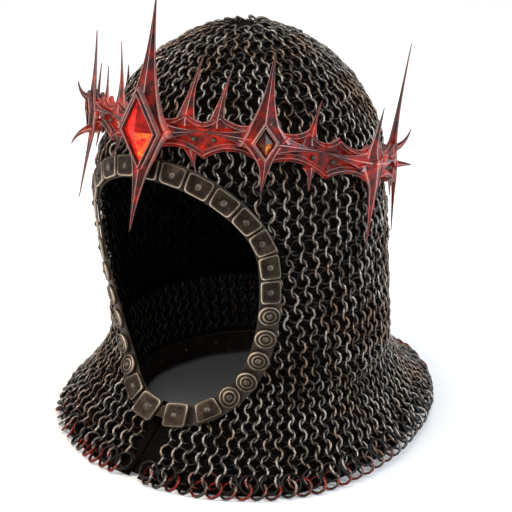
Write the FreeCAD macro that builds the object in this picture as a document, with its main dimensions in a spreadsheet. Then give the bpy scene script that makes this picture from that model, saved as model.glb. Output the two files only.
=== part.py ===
"""Mail coif with a plated face edging, a chin hook and a lift-off thorn crown.

The origin is on the ground plane, under the middle of the part's box. The face
opening looks along -Y, X is left and right, and +Z is up. All sizes are in mm.
"""
import FreeCAD
import Part
import Sketcher
import math
import os
from FreeCAD import Placement, Rotation, Vector

doc = FreeCAD.newDocument("mail_coif")

# Driving dimensions, each with its own cell
SIZES = [
    ("hem_half_width", 150), ("hem_front_reach", 146), ("hem_back_reach", 176),
    ("throat_level", 66), ("throat_half_width", 110), ("throat_front_reach", 84),
    ("nape_reach", 112), ("flare_power", 1.7),
    ("brow_level", 196), ("head_half_width", 102), ("head_front_reach", 112),
    ("head_back_reach", 110), ("dome_top", 305), ("mail_thickness", 4),
    ("shoulder_arch_height", 8), ("shoulder_arch_length", 250), ("shoulder_arch_center", 16),
    ("dome_joint_level", 236),
    ("slit_half_gap_top", 1.5), ("slit_half_gap_hem", 3.5),
    ("lapel_fold_half_width", 74), ("lapel_fold_top_level", 24), ("lapel_fold_top_offset", 6),
    ("lapel_floor_gap", 1), ("fold_gap", 0.5),
    ("opening_half_width", 68), ("opening_top", 216), ("opening_bottom", 42),
    ("opening_widest_level", 158), ("mail_edge_setback", 3),
    ("strap_width", 15), ("strap_thickness", 1.6), ("strap_lift", 0.8),
    ("plate_thickness", 2), ("plate_width", 14),
    ("plate_gap", 1), ("plate_bevel", 0.7), ("scale_diameter", 15.5), ("chin_end_length", 19),
    ("rivet_shank_radius", 1.2), ("rivet_head_radius", 2.4), ("rivet_head_height", 1.5),
    ("hook_thickness", 1.6), ("hook_width", 9), ("hook_pivot_offset", 12),
    ("stud_head_radius", 3.6), ("hook_fit", 0.3),
    ("hem_ring_radius", 6.5), ("hem_ring_wire", 1.1), ("hem_ring_rise", 8),
    ("lining_top", 70), ("lining_bottom", 3), ("lining_thickness", 2.5), ("lining_clearance", 0.8),
    ("lining_foot_half_width", 88), ("lining_foot_reach", 98), ("lining_half_angle", 112),
    ("neck_strap_margin", 1), ("neck_strap_height", 18), ("neck_strap_thickness", 2),
    ("neck_rivet_shank_radius", 1), ("neck_rivet_head_radius", 2.2), ("neck_rivet_head_height", 1),
    ("crown_level", 219), ("crown_front_rise", 33), ("crown_temple_rise", 5),
    ("hoop_below", 16), ("hoop_above", 9), ("hoop_thickness", 2.4), ("hoop_fit", 0.6),
    ("star_depth", 9), ("front_star_depth", 14), ("rail_depth", 5), ("rail_width", 5.5),
    ("segment_gap", 0.8), ("upper_rail_sag", 3), ("lower_rail_sag", 3.5), ("lower_rail_drop", 1.5),
    ("crown_lean", 0.25), ("upper_rail_level", 9), ("lower_rail_level", 13),
    ("front_gem_half_width", 12), ("front_gem_half_height", 26), ("front_gem_depth", 8),
    ("temple_gem_half_width", 7), ("temple_gem_half_height", 10), ("temple_gem_depth", 5),
    ("crown_stud_radius", 2), ("crown_stud_height", 1.6), ("crown_stud_lift", 0.6),
    ("hem_ring_gap", 0.6), ("clearance", 0.3),
]
sheet = doc.addObject("Spreadsheet::Sheet", "Sizes")
for row, (alias, value) in enumerate(SIZES, start=1):
    sheet.set("A%d" % row, alias)
    sheet.set("B%d" % row, str(value))
    sheet.setAlias("B%d" % row, alias)
doc.recompute()


def size(alias):
    return float(sheet.get(alias))


# Counts of the repeated pieces
BROW_PLATES_PER_SIDE = 7
CHEEK_SCALES_PER_SIDE = 5
SECTION_POINTS = 24
OPENING_POINTS = 48
HOOP_STATIONS = 48
NECK_RIVETS = 13
NECK_RIVET_SPREAD = 0.94

# Reach of the blocks that only cut: below the ground, and past the fold line on each side
BELOW_GROUND = -10
FOLD_TOOL_MARGIN = 60
FOLD_TOOL_LENGTH = 260
FOLD_TOOL_HEIGHT = 120
FOLD_TOOL_DEPTH = 200

axis_y = (size("hem_front_reach") - size("hem_back_reach")) / 2
clearance = size("clearance")
parts = []


def finish_part(label, shape, placement=None):
    """Add a sub-part whose form comes from a formula."""
    feature = doc.addObject("Part::Feature", label)
    feature.Label = label
    feature.Shape = shape
    feature.Placement = placement or Placement()
    parts.append(feature)
    return feature


def helper(label, shape):
    """Add a tool form that shapes other sub-parts and isn't exported."""
    feature = doc.addObject("Part::Feature", label)
    feature.Shape = shape
    return feature


# Form of the mail: half ellipses at each level, wider at the hem


def reaches(level, outset=0.0):
    """Half width, front reach and back reach of the mail's skin at a level."""
    throat = (size("throat_half_width"), size("throat_front_reach"), size("nape_reach"))
    hem = (size("hem_half_width"), size("hem_front_reach"), size("hem_back_reach"))
    head = (size("head_half_width"), size("head_front_reach"), size("head_back_reach"))
    throat_level = size("throat_level")
    brow_level = size("brow_level")
    if level < throat_level:
        flare = (1 - level / throat_level) ** size("flare_power")
        return [t + (e - t) * flare + outset for t, e in zip(throat, hem)]
    if level < brow_level:
        share = (level - throat_level) / (brow_level - throat_level)
        smooth = share * share * (3 - 2 * share)
        return [t + (e - t) * smooth + outset for t, e in zip(throat, head)]
    share = min((level - brow_level) / (size("dome_top") + outset - brow_level), 1.0)
    crown = (1 - share ** 1.9) ** (1 / 1.8)
    return [(e + outset) * crown for e in head]


def skin(angle, level, outset=0.0):
    """Point of the mail's skin, with the angle in radians from the front."""
    side, front, back = reaches(level, outset)
    reach = front if math.cos(angle) > 0 else back
    return Vector(side * math.sin(angle), axis_y - reach * math.cos(angle), level)


def skin_normal(angle, level):
    """Outward normal of the skin from two short steps along it."""
    step = 0.01
    across = skin(angle + step, level) - skin(angle - step, level)
    upward = skin(angle, level + 1) - skin(angle, level - 1)
    return across.cross(upward).normalize()


def skin_angle(point):
    """Angle from the front of the skin point nearest to a point at its level."""
    side, front, back = reaches(point.z)
    reach = front if point.y < axis_y else back
    return math.atan2(point.x / side, (axis_y - point.y) / reach)


def lifted(angle, level, height):
    """Point that stands off the skin by a height along its normal."""
    return skin(angle, level) + skin_normal(angle, level) * height


def skin_section(level, outset):
    points = [skin(2 * math.pi * k / SECTION_POINTS, level, outset) for k in range(SECTION_POINTS)]
    curve = Part.BSplineCurve()
    curve.interpolate(points, PeriodicFlag=True)
    return Part.Wire([curve.toShape()])


def skin_form(outset, lowest):
    """Closed loft over the skin, from its lowest level to the top of the dome."""
    throat_level = size("throat_level")
    brow_level = size("brow_level")
    top = size("dome_top") + outset
    levels = [lowest]
    levels += [throat_level * k / 6 for k in range(1, 6)]
    levels += [throat_level + (brow_level - throat_level) * k / 6 for k in range(6)]
    levels += [brow_level + (top - brow_level) * share
               for share in (0, 0.2, 0.38, 0.54, 0.68, 0.8, 0.89, 0.955, 0.992)]
    return Part.makeLoft([skin_section(level, outset) for level in levels], True, False)


# Face opening: an arch above its widest level and a pointed chin below it


def opening_outline(turn, setback=0.0):
    """Half width and level of the opening's edge, with the turn in radians."""
    cosine = math.cos(turn)
    sine = math.sin(turn)
    middle = size("opening_widest_level")
    width = size("opening_half_width") + setback
    if sine >= 0:
        height = size("opening_top") + setback - middle
        across, along = 0.94, 2 / 2.1
    else:
        height = middle - size("opening_bottom") + setback
        across, along = 0.79, 2 / 1.9
    x = math.copysign(width * abs(cosine) ** across, cosine)
    return x, middle + math.copysign(height * abs(sine) ** along, sine)


def edge_point(turn, sideways, height):
    """Point beside the opening's edge, outward over the skin and raised off it."""
    x, level = opening_outline(turn)
    angle = math.asin(max(-1.0, min(1.0, x / reaches(level)[0])))
    step = 0.02
    ahead = opening_outline(turn + step)
    behind = opening_outline(turn - step)
    tangent = Vector(ahead[0] - behind[0], 0, ahead[1] - behind[1])
    normal = skin_normal(angle, level)
    tangent = (tangent - normal * tangent.dot(normal)).normalize()
    outward = tangent.cross(normal)
    beside = skin(angle, level) + outward * sideways
    return lifted(skin_angle(beside), beside.z, height)


def edge_frame(turn, sideways, height, half_length, half_width):
    """Placement on the edging: X along the edge, Z off the skin, clear of its bulge."""
    center = edge_point(turn, sideways, 0)
    step = 0.02
    along = (edge_point(turn + step, sideways, 0) - edge_point(turn - step, sideways, 0)).normalize()
    normal = skin_normal(skin_angle(center), center.z)
    across = normal.cross(along).normalize()
    normal = along.cross(across)
    bulge = 0.0
    for x in (-half_length, 0, half_length):
        for y in (-half_width, 0, half_width):
            probe = center + along * x + across * y
            foot = skin(skin_angle(probe), probe.z)
            bulge = max(bulge, (foot - center).dot(normal))
    rotation = Rotation(along, across, normal, "ZXY")
    return Placement(center + normal * (height + bulge), rotation)


# Mail: one skin cut into the dome, the hood, the mantle and two front lapels
outer_form = helper("outer_form", skin_form(0, 0))
inner_form = helper("inner_form", skin_form(-size("mail_thickness"), -6))
mail_shell = outer_form.Shape.cut(inner_form.Shape)

setback = size("mail_edge_setback")
outline = [opening_outline(2 * math.pi * (k + 0.5) / OPENING_POINTS, setback)
           for k in range(OPENING_POINTS)]
reach_limit = size("hem_front_reach") * 2
curve = Part.BSplineCurve()
curve.interpolate([Vector(x, axis_y, level) for x, level in outline], PeriodicFlag=True)
opening_tool = Part.Face(Part.Wire([curve.toShape()])).extrude(Vector(0, -reach_limit, 0))

arch = size("shoulder_arch_height")
chord = size("shoulder_arch_length") / 2
arch_radius = (chord ** 2 + arch ** 2) / (2 * arch)
arch_tool = doc.addObject("Part::Cylinder", "arch_tool")
arch_tool.setExpression("Radius", "((Sizes.shoulder_arch_length / 2)^2 + Sizes.shoulder_arch_height^2)"
                        " / (2 * Sizes.shoulder_arch_height)")
arch_tool.setExpression("Height", "4 * Sizes.hem_half_width")
doc.recompute()
arch_tool.Placement = Placement(
    Vector(-2 * size("hem_half_width"), size("shoulder_arch_center"), arch - arch_radius),
    Rotation(Vector(0, 1, 0), 90))


def level_slab(bottom, top):
    """Block that spans the whole part between two levels."""
    reach = 4 * size("hem_back_reach")
    return Part.makeBox(reach, reach, top - bottom, Vector(-reach / 2, -reach / 2, bottom))


slit_top = size("throat_level") + 1
slit_bottom = BELOW_GROUND
gap_top = size("slit_half_gap_top")
gap_hem = size("slit_half_gap_hem")
slit_tool = Part.Face(Part.makePolygon([
    Vector(-gap_hem, axis_y, slit_bottom), Vector(gap_hem, axis_y, slit_bottom),
    Vector(gap_top, axis_y, slit_top), Vector(-gap_top, axis_y, slit_top),
    Vector(-gap_hem, axis_y, slit_bottom)])).extrude(Vector(0, -reach_limit, 0))

mantle_level = size("throat_level")
joint_level = size("dome_joint_level")
mantle_skin = mail_shell.common(level_slab(BELOW_GROUND, mantle_level)).cut(arch_tool.Shape)
mantle_skin = mantle_skin.cut(opening_tool).cut(slit_tool)


def fold_line(side):
    """Ends of the line about which a front corner of the mantle folds out."""
    top_level = size("lapel_fold_top_level")
    offset = size("lapel_fold_top_offset")
    top = skin(math.asin(offset / reaches(top_level)[0]), top_level)
    hem = skin(math.asin(size("lapel_fold_half_width") / size("hem_half_width")), 0)
    direction = (hem - top).normalize()
    outward = Vector(0, -1, 0.9)
    outward = (outward - direction * outward.dot(direction)).normalize()
    bulge = 0.0
    for k in range(1, 20):
        probe = top + (hem - top) * (k / 20)
        foot = skin(skin_angle(probe), probe.z)
        bulge = max(bulge, (foot - probe).dot(outward))
    shift = outward * (bulge + clearance)
    mirror = Vector(side, 1, 1)
    ends = []
    for point in (top + shift, hem + shift, outward):
        ends.append(Vector(point.x * mirror.x, point.y, point.z))
    return ends


def lapel_tool(side, gap):
    """Half space on the slit's side of the fold plane, as a thick block."""
    top, hem, outward = fold_line(side)
    along = (hem - top).normalize()
    across = outward.cross(along).normalize()
    if across.z > 0:
        across = across * -1
    start = top - (along + outward) * FOLD_TOOL_MARGIN + across * gap
    end = start + along * FOLD_TOOL_LENGTH
    rise = outward * FOLD_TOOL_HEIGHT
    block = [start, end, end + rise, start + rise, start]
    return Part.Face(Part.makePolygon(block)).extrude(across * FOLD_TOOL_DEPTH)


half_gap = size("fold_gap") / 2
lapels = {}
mantle = mantle_skin
for side, word in ((1, "left"), (-1, "right")):
    half_space = Part.makeBox(reach_limit, 2 * reach_limit, 200,
                              Vector(0 if side > 0 else -reach_limit, -2 * reach_limit, -20))
    front_zone = half_space.common(level_slab(BELOW_GROUND, size("lapel_fold_top_level") + 20))
    lapel = mantle_skin.common(front_zone).common(lapel_tool(side, half_gap))
    lapel = lapel.common(level_slab(size("lapel_floor_gap"), mantle_level))
    pieces = sorted(lapel.Solids, key=lambda solid: -solid.Volume)
    lapels[word] = pieces[0]
    mantle = mantle.cut(front_zone.common(lapel_tool(side, -half_gap)))
mantle_pieces = sorted(mantle.Solids, key=lambda solid: -solid.Volume)

hood = mail_shell.common(level_slab(mantle_level, joint_level)).cut(opening_tool)
dome = mail_shell.common(level_slab(joint_level, size("dome_top") + 10))
finish_part("mail_dome", dome)
finish_part("mail_hood", hood)
finish_part("mail_mantle", mantle_pieces[0])
finish_part("lapel_left", lapels["left"])
finish_part("lapel_right", lapels["right"])

# Face edging: a leather strap over the mail's rim, in one run from chin to chin
chin_gap_turn = math.asin(gap_hem / size("opening_half_width")) * 0.9
first_turn = -math.pi / 2 + chin_gap_turn
strap_run = 2 * math.pi - 2 * chin_gap_turn


def strap_section(turn):
    """Flat rectangle across the strap, standing on the skin."""
    inner = edge_point(turn, 0, size("strap_lift"))
    outer = edge_point(turn, size("strap_width"), size("strap_lift"))
    normal = skin_normal(skin_angle(inner), inner.z) + skin_normal(skin_angle(outer), outer.z)
    across = (outer - inner).normalize()
    rise = (normal - across * normal.dot(across)).normalize() * size("strap_thickness")
    return Part.makePolygon([inner, outer, outer + rise, inner + rise, inner])


STRAP_SECTIONS = 56
strap = Part.makeLoft([strap_section(first_turn + strap_run * k / STRAP_SECTIONS)
                       for k in range(STRAP_SECTIONS + 1)], True, True)

# Stations of the riveted pieces, evenly spaced along the strap's middle
middle = size("strap_width") / 2
TRACK_STEPS = 720
track = [0.0]
previous = edge_point(first_turn, middle, 0)
for k in range(1, TRACK_STEPS + 1):
    point = edge_point(first_turn + strap_run * k / TRACK_STEPS, middle, 0)
    track.append(track[-1] + (point - previous).Length)
    previous = point
track_length = track[-1]


def turn_at(distance):
    """Turn on the opening's edge at a distance along the strap's middle."""
    for k in range(1, TRACK_STEPS + 1):
        if track[k] >= distance:
            share = (distance - track[k - 1]) / (track[k] - track[k - 1])
            return first_turn + strap_run * (k - 1 + share) / TRACK_STEPS
    return first_turn + strap_run


def origin_plane(body, role):
    for feature in body.Origin.OriginFeatures:
        if feature.Role == role:
            return feature


def add_sketch(body, name, offset=0.0):
    sketch = body.newObject("Sketcher::SketchObject", name)
    sketch.AttachmentSupport = [(origin_plane(body, "XY_Plane"), "")]
    sketch.MapMode = "FlatFace"
    sketch.AttachmentOffset = Placement(Vector(0, 0, offset), Rotation())
    return sketch


def centered_rectangle(sketch, length, width):
    """Rectangle about the sketch's origin, bound to two expressions."""
    corners = [Vector(-5, -5, 0), Vector(5, -5, 0), Vector(5, 5, 0), Vector(-5, 5, 0)]
    for k in range(4):
        sketch.addGeometry(Part.LineSegment(corners[k], corners[(k + 1) % 4]), False)
        sketch.addConstraint(Sketcher.Constraint("Horizontal" if k % 2 == 0 else "Vertical", k))
    for k in range(4):
        sketch.addConstraint(Sketcher.Constraint("Coincident", k, 2, (k + 1) % 4, 1))
    sketch.addConstraint(Sketcher.Constraint("Symmetric", 0, 1, 1, 2, -1, 1))
    wide = sketch.addConstraint(Sketcher.Constraint("DistanceX", 0, 1, 0, 2, 10))
    high = sketch.addConstraint(Sketcher.Constraint("DistanceY", 1, 1, 1, 2, 10))
    sketch.setExpression("Constraints[%d]" % wide, length)
    sketch.setExpression("Constraints[%d]" % high, width)


def centered_circle(sketch, radius, x="0", y="0"):
    sketch.addGeometry(Part.Circle(Vector(0, 0, 0), Vector(0, 0, 1), 2), False)
    number = len(sketch.Geometry) - 1
    across = sketch.addConstraint(Sketcher.Constraint("DistanceX", -1, 1, number, 3, 0))
    along = sketch.addConstraint(Sketcher.Constraint("DistanceY", -1, 1, number, 3, 0))
    round_size = sketch.addConstraint(Sketcher.Constraint("Radius", number, 2))
    sketch.setExpression("Constraints[%d]" % across, x)
    sketch.setExpression("Constraints[%d]" % along, y)
    sketch.setExpression("Constraints[%d]" % round_size, radius)


def pad(body, sketch, length):
    feature = body.newObject("PartDesign::Pad", sketch.Name + "_pad")
    feature.Profile = sketch
    feature.setExpression("Length", length)
    return feature


def cut_through(body, sketch):
    feature = body.newObject("PartDesign::Pocket", sketch.Name + "_hole")
    feature.Profile = sketch
    feature.Type = "ThroughAll"
    feature.Midplane = True
    return feature


def bevel_top(body, base, amount):
    """Chamfer along the edges of the top face."""
    doc.recompute()
    top = max(vertex.Z for vertex in base.Shape.Vertexes)
    names = ["Edge%d" % (k + 1) for k, edge in enumerate(base.Shape.Edges)
             if all(abs(vertex.Z - top) < 1e-6 for vertex in edge.Vertexes)]
    feature = body.newObject("PartDesign::Chamfer", body.Name + "_bevel")
    feature.Base = (base, names)
    feature.setExpression("Size", amount)
    return feature


RIVET_HOLE = "Sizes.rivet_shank_radius + Sizes.clearance / 2"


def tapered_outline(sketch, inner_length, outer_length, width):
    """Trapezium about the sketch's origin, its shorter side towards the opening."""
    corners = [Vector(-6, -5, 0), Vector(6, -5, 0), Vector(5, 5, 0), Vector(-5, 5, 0)]
    for k in range(4):
        sketch.addGeometry(Part.LineSegment(corners[k], corners[(k + 1) % 4]), False)
    for k in range(4):
        sketch.addConstraint(Sketcher.Constraint("Coincident", k, 2, (k + 1) % 4, 1))
    sketch.addConstraint(Sketcher.Constraint("Symmetric", 0, 1, 0, 2, -2))
    sketch.addConstraint(Sketcher.Constraint("Symmetric", 2, 1, 2, 2, -2))
    outer = sketch.addConstraint(Sketcher.Constraint("DistanceX", 0, 1, 0, 2, 12))
    inner = sketch.addConstraint(Sketcher.Constraint("DistanceX", 2, 2, 2, 1, 10))
    low = sketch.addConstraint(Sketcher.Constraint("DistanceY", 0, 1, -1, 1, 5))
    high = sketch.addConstraint(Sketcher.Constraint("DistanceY", -1, 1, 2, 1, 5))
    sketch.setExpression("Constraints[%d]" % outer, outer_length)
    sketch.setExpression("Constraints[%d]" % inner, inner_length)
    sketch.setExpression("Constraints[%d]" % low, "(%s) / 2" % width)
    sketch.setExpression("Constraints[%d]" % high, "(%s) / 2" % width)


def riveted_plate(label, inner_length, outer_length, width, placement, hole_x="0"):
    """Flat bevelled plate with a rivet hole."""
    body = doc.addObject("PartDesign::Body", label)
    body.Label = label
    outline_sketch = add_sketch(body, label + "_outline")
    tapered_outline(outline_sketch, inner_length, outer_length, width)
    plate = pad(body, outline_sketch, "Sizes.plate_thickness")
    bevel_top(body, plate, "Sizes.plate_bevel")
    hole_sketch = add_sketch(body, label + "_rivet_circle")
    centered_circle(hole_sketch, RIVET_HOLE, hole_x)
    cut_through(body, hole_sketch)
    body.Placement = placement
    parts.append(body)
    return body


def riveted_scale(label, placement):
    """Round bevelled scale with a rivet hole."""
    body = doc.addObject("PartDesign::Body", label)
    body.Label = label
    outline_sketch = add_sketch(body, label + "_outline")
    centered_circle(outline_sketch, "Sizes.scale_diameter / 2")
    disc = pad(body, outline_sketch, "Sizes.plate_thickness")
    bevel_top(body, disc, "Sizes.plate_bevel")
    hole_sketch = add_sketch(body, label + "_rivet_circle")
    centered_circle(hole_sketch, RIVET_HOLE)
    cut_through(body, hole_sketch)
    body.Placement = placement
    parts.append(body)
    return body


plate_seat = size("strap_lift") + size("strap_thickness") + clearance
half_length = track_length / 2
chin_end_reach = size("chin_end_length") + size("plate_gap")
pieces_per_side = 1 + CHEEK_SCALES_PER_SIDE + BROW_PLATES_PER_SIDE
pitch = (half_length - chin_end_reach) / (pieces_per_side + 0.5)
plate_length = pitch - size("plate_gap")
rivet_places = []
scale_half = size("scale_diameter") / 2
plate_half_width = size("plate_width") / 2


def joint_chord(distance, sideways):
    """Length between a piece's two joints, measured beside the opening's edge."""
    ahead = edge_point(turn_at(distance + pitch / 2), sideways, 0)
    behind = edge_point(turn_at(distance - pitch / 2), sideways, 0)
    return (ahead - behind).Length - size("plate_gap")


def add_length(alias, value):
    """Give a worked-out length its own cell, so that sketches can use it."""
    row = add_length.row
    sheet.set("A%d" % row, alias)
    sheet.set("B%d" % row, "%.4f" % value)
    sheet.setAlias("B%d" % row, alias)
    doc.recompute()
    add_length.row += 1


add_length.row = len(SIZES) + 1


def place_plate(label, distance):
    inner = joint_chord(distance, middle - plate_half_width)
    outer = joint_chord(distance, middle + plate_half_width)
    placement = edge_frame(turn_at(distance), middle, plate_seat, plate_length / 2, plate_half_width)
    toward_edge = placement.Rotation.multVec(Vector(0, 1, 0))
    outward = edge_point(turn_at(distance), middle + 1, 0) - edge_point(turn_at(distance), middle, 0)
    if toward_edge.dot(outward) > 0:
        placement = placement.multiply(Placement(Vector(), Rotation(Vector(0, 0, 1), 180)))
    add_length(label + "_inner", inner)
    add_length(label + "_outer", outer)
    riveted_plate(label, "Sizes.%s_inner" % label, "Sizes.%s_outer" % label, "Sizes.plate_width", placement)
    rivet_places.append(placement)


def place_scale(label, distance):
    placement = edge_frame(turn_at(distance), middle, plate_seat, scale_half, scale_half)
    riveted_scale(label, placement)
    rivet_places.append(placement)


place_plate("brow_plate_center", half_length)
for side, word in ((1, "left"), (-1, "right")):
    for k in range(1, BROW_PLATES_PER_SIDE + 1):
        place_plate("brow_plate_%s_%d" % (word, k), half_length - side * k * pitch)
    for k in range(1, CHEEK_SCALES_PER_SIDE + 1):
        steps = BROW_PLATES_PER_SIDE + k
        place_scale("cheek_scale_%s_%d" % (word, k), half_length - side * steps * pitch)
    place_plate("chin_plate_%s" % word, half_length - side * pieces_per_side * pitch)

# Chin hook: a flat link under the two end plates, all in the chin's own plane
chin_turn = -math.pi / 2
chin_center = edge_point(chin_turn, middle, 0)
chin_normal = skin_normal(0, chin_center.z)
chin_across = Vector(1, 0, 0)
chin_up = chin_normal.cross(chin_across).normalize()
chin_rotation = Rotation(chin_across, chin_up, chin_normal, "ZXY")
end_reach = gap_hem + size("chin_end_length")
chin_bulge = 0.0
for x in (-end_reach, -end_reach / 2, 0, end_reach / 2, end_reach):
    for y in (-plate_half_width, 0, plate_half_width):
        probe = chin_center + chin_across * x + chin_up * y
        foot = skin(skin_angle(probe), probe.z)
        chin_bulge = max(chin_bulge, (foot - chin_center).dot(chin_normal))
hook_seat = plate_seat + chin_bulge
end_plate_seat = hook_seat + size("hook_thickness") + size("hook_fit")


def chin_placement(x, height):
    return Placement(chin_center + chin_across * x + chin_normal * height, chin_rotation)


end_plate_x = gap_hem + size("chin_end_length") / 2
pivot_x = size("hook_pivot_offset")
for side, word in ((1, "left"), (-1, "right")):
    rivet_x = "%d * (Sizes.hook_pivot_offset - Sizes.slit_half_gap_hem - Sizes.chin_end_length / 2)" % side
    riveted_plate("chin_end_plate_%s" % word, "Sizes.chin_end_length", "Sizes.chin_end_length",
                  "Sizes.plate_width",
                  chin_placement(side * end_plate_x, end_plate_seat), rivet_x)


def slot_outline(sketch):
    """Slot about the stud's shank, open at the lower edge of the hook."""
    points = [Vector(-14, -9, 0), Vector(-10, -9, 0), Vector(-10, 2, 0), Vector(-14, 2, 0)]
    for k in range(4):
        sketch.addGeometry(Part.LineSegment(points[k], points[(k + 1) % 4]), False)
        sketch.addConstraint(Sketcher.Constraint("Horizontal" if k % 2 == 0 else "Vertical", k))
    for k in range(4):
        sketch.addConstraint(Sketcher.Constraint("Coincident", k, 2, (k + 1) % 4, 1))
    left = sketch.addConstraint(Sketcher.Constraint("DistanceX", 0, 1, -1, 1, 14))
    right = sketch.addConstraint(Sketcher.Constraint("DistanceX", 0, 2, -1, 1, 10))
    low = sketch.addConstraint(Sketcher.Constraint("DistanceY", 0, 1, -1, 1, 9))
    high = sketch.addConstraint(Sketcher.Constraint("DistanceY", -1, 1, 2, 2, 2))
    shank = "Sizes.rivet_shank_radius + Sizes.clearance"
    sketch.setExpression("Constraints[%d]" % left, "Sizes.hook_pivot_offset + " + shank)
    sketch.setExpression("Constraints[%d]" % right, "Sizes.hook_pivot_offset - (%s)" % shank)
    sketch.setExpression("Constraints[%d]" % low, "Sizes.hook_width")
    sketch.setExpression("Constraints[%d]" % high, shank)


hook = doc.addObject("PartDesign::Body", "chin_hook")
hook.Label = "chin_hook"
hook_outline = add_sketch(hook, "chin_hook_outline")
centered_rectangle(hook_outline, "2 * Sizes.hook_pivot_offset + Sizes.hook_width", "Sizes.hook_width")
hook_plate = pad(hook, hook_outline, "Sizes.hook_thickness")
pivot_sketch = add_sketch(hook, "chin_hook_pivot_circle")
centered_circle(pivot_sketch, RIVET_HOLE, "Sizes.hook_pivot_offset")
cut_through(hook, pivot_sketch)
slot_sketch = add_sketch(hook, "chin_hook_slot")
slot_outline(slot_sketch)
cut_through(hook, slot_sketch)
hook.Placement = chin_placement(0, hook_seat)
parts.append(hook)


def rivet_form(shank_radius, head_radius, head_height, shank_length):
    """Domed head on a shank, with the head's seat at the origin."""
    ball_radius = (head_radius ** 2 + head_height ** 2) / (2 * head_height)
    ball = Part.makeSphere(ball_radius, Vector(0, 0, head_height - ball_radius))
    block = Part.makeBox(4 * ball_radius, 4 * ball_radius, head_height + 1,
                         Vector(-2 * ball_radius, -2 * ball_radius, 0))
    shank = Part.makeCylinder(shank_radius, shank_length + head_height / 4, Vector(0, 0, -shank_length))
    return ball.common(block).fuse(shank)


def moved(shape, placement):
    copy = shape.copy()
    copy.Placement = placement
    return copy


def raised(placement, height):
    return placement.multiply(Placement(Vector(0, 0, height), Rotation()))


# Rivets pass through plate and strap and end above the mail
plate_top = size("plate_thickness") + clearance / 3
plate_rivet_length = plate_top + clearance + size("strap_thickness")
plate_rivet = rivet_form(size("rivet_shank_radius"), size("rivet_head_radius"),
                         size("rivet_head_height"), plate_rivet_length)
finish_part("plate_rivets", Part.makeCompound(
    [moved(plate_rivet, raised(place, plate_top)) for place in rivet_places]))

stud_depth = end_plate_seat + plate_top - clearance
pivot_rivet = rivet_form(size("rivet_shank_radius"), size("rivet_head_radius"),
                         size("rivet_head_height"), stud_depth)
finish_part("hook_pivot_rivet", pivot_rivet, chin_placement(pivot_x, end_plate_seat + plate_top))
stud = rivet_form(size("rivet_shank_radius"), size("stud_head_radius"),
                  size("rivet_head_height"), stud_depth)
finish_part("chin_stud", stud, chin_placement(-pivot_x, end_plate_seat + plate_top))

# The strap has a hole for each shank
hole_radius = size("rivet_shank_radius") + clearance / 2
hole_depth = 6
hole = Part.makeCylinder(hole_radius, 2 * hole_depth, Vector(0, 0, -hole_depth))
strap_holes = [moved(hole, place) for place in rivet_places]
strap_holes += [moved(hole, chin_placement(x, plate_seat)) for x in (pivot_x, -pivot_x)]
finish_part("face_strap", strap.cut(Part.makeCompound(strap_holes)))

# Nape lining: a curtain that hangs from the hood's lower rim and is drawn in below
lining_angle = math.radians(size("lining_half_angle"))
LINING_SECTIONS = 40


def lining_point(angle, level, inset):
    """Point of the lining, at an inset from its outer face."""
    top = size("lining_top")
    bottom = size("lining_bottom")
    share = (top - level) / (top - bottom)
    foot = (size("lining_foot_half_width"), size("lining_foot_reach"))
    inside = size("mail_thickness") + size("lining_clearance")
    head = (size("throat_half_width") - inside, size("nape_reach") - inside)
    front = size("throat_front_reach") - inside
    side = head[0] + (foot[0] - head[0]) * share - inset
    back = head[1] + (foot[1] - head[1]) * share - inset
    reach = front - inset if math.cos(angle) > 0 else back
    return Vector(side * math.sin(angle), axis_y - reach * math.cos(angle), level)


def lining_section(angle, bottom, top, inset, thickness):
    corners = [lining_point(angle, bottom, inset), lining_point(angle, top, inset),
               lining_point(angle, top, inset + thickness), lining_point(angle, bottom, inset + thickness)]
    return Part.makePolygon(corners + [corners[0]])


def lining_loft(bottom, top, inset, thickness, half_angle):
    return Part.makeLoft([lining_section(math.pi + half_angle * (2 * k / LINING_SECTIONS - 1),
                                         bottom, top, inset, thickness)
                          for k in range(LINING_SECTIONS + 1)], True, True)


lining = lining_loft(size("lining_bottom"), size("lining_top"), 0, size("lining_thickness"), lining_angle)
strap_bottom = size("lining_bottom") + size("neck_strap_margin")
strap_top = strap_bottom + size("neck_strap_height")
neck_inset = size("lining_thickness") + clearance
neck_strip = lining_loft(strap_bottom, strap_top, neck_inset, size("neck_strap_thickness"),
                         lining_angle - 0.01)
neck_rivet = rivet_form(size("neck_rivet_shank_radius"), size("neck_rivet_head_radius"),
                        size("neck_rivet_head_height"), size("neck_strap_thickness"))
neck_hole = Part.makeCylinder(size("neck_rivet_shank_radius") + clearance / 2, 8, Vector(0, 0, -4))
neck_rivets = []
neck_holes = []
for k in range(NECK_RIVETS):
    angle = math.pi + lining_angle * NECK_RIVET_SPREAD * (2 * k / (NECK_RIVETS - 1) - 1)
    seat = lining_point(angle, (strap_bottom + strap_top) / 2,
                        neck_inset + size("neck_strap_thickness") + clearance)
    along = lining_point(angle + 0.02, seat.z, neck_inset) - lining_point(angle - 0.02, seat.z, neck_inset)
    upward = lining_point(angle, strap_top, 0) - lining_point(angle, strap_bottom, 0)
    inward = Rotation(Vector(0, 0, 1), upward.cross(along))
    neck_rivets.append(moved(neck_rivet, Placement(seat, inward)))
    neck_holes.append(moved(neck_hole, Placement(seat, inward)))
finish_part("nape_lining", lining)
finish_part("neck_strap", neck_strip.cut(Part.makeCompound(neck_holes)))
finish_part("neck_strap_rivets", Part.makeCompound(neck_rivets))

# Crown: a hoop that rests on the dome, and eight thorned segments on its outer face


def crown_level(angle):
    """Level of the hoop's middle line, raised at the front and at the temples."""
    level = size("crown_level") + size("crown_front_rise") * math.cos(angle)
    if math.cos(angle) > 0:
        level += size("crown_temple_rise") * math.sin(2 * angle) ** 2
    return level


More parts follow.
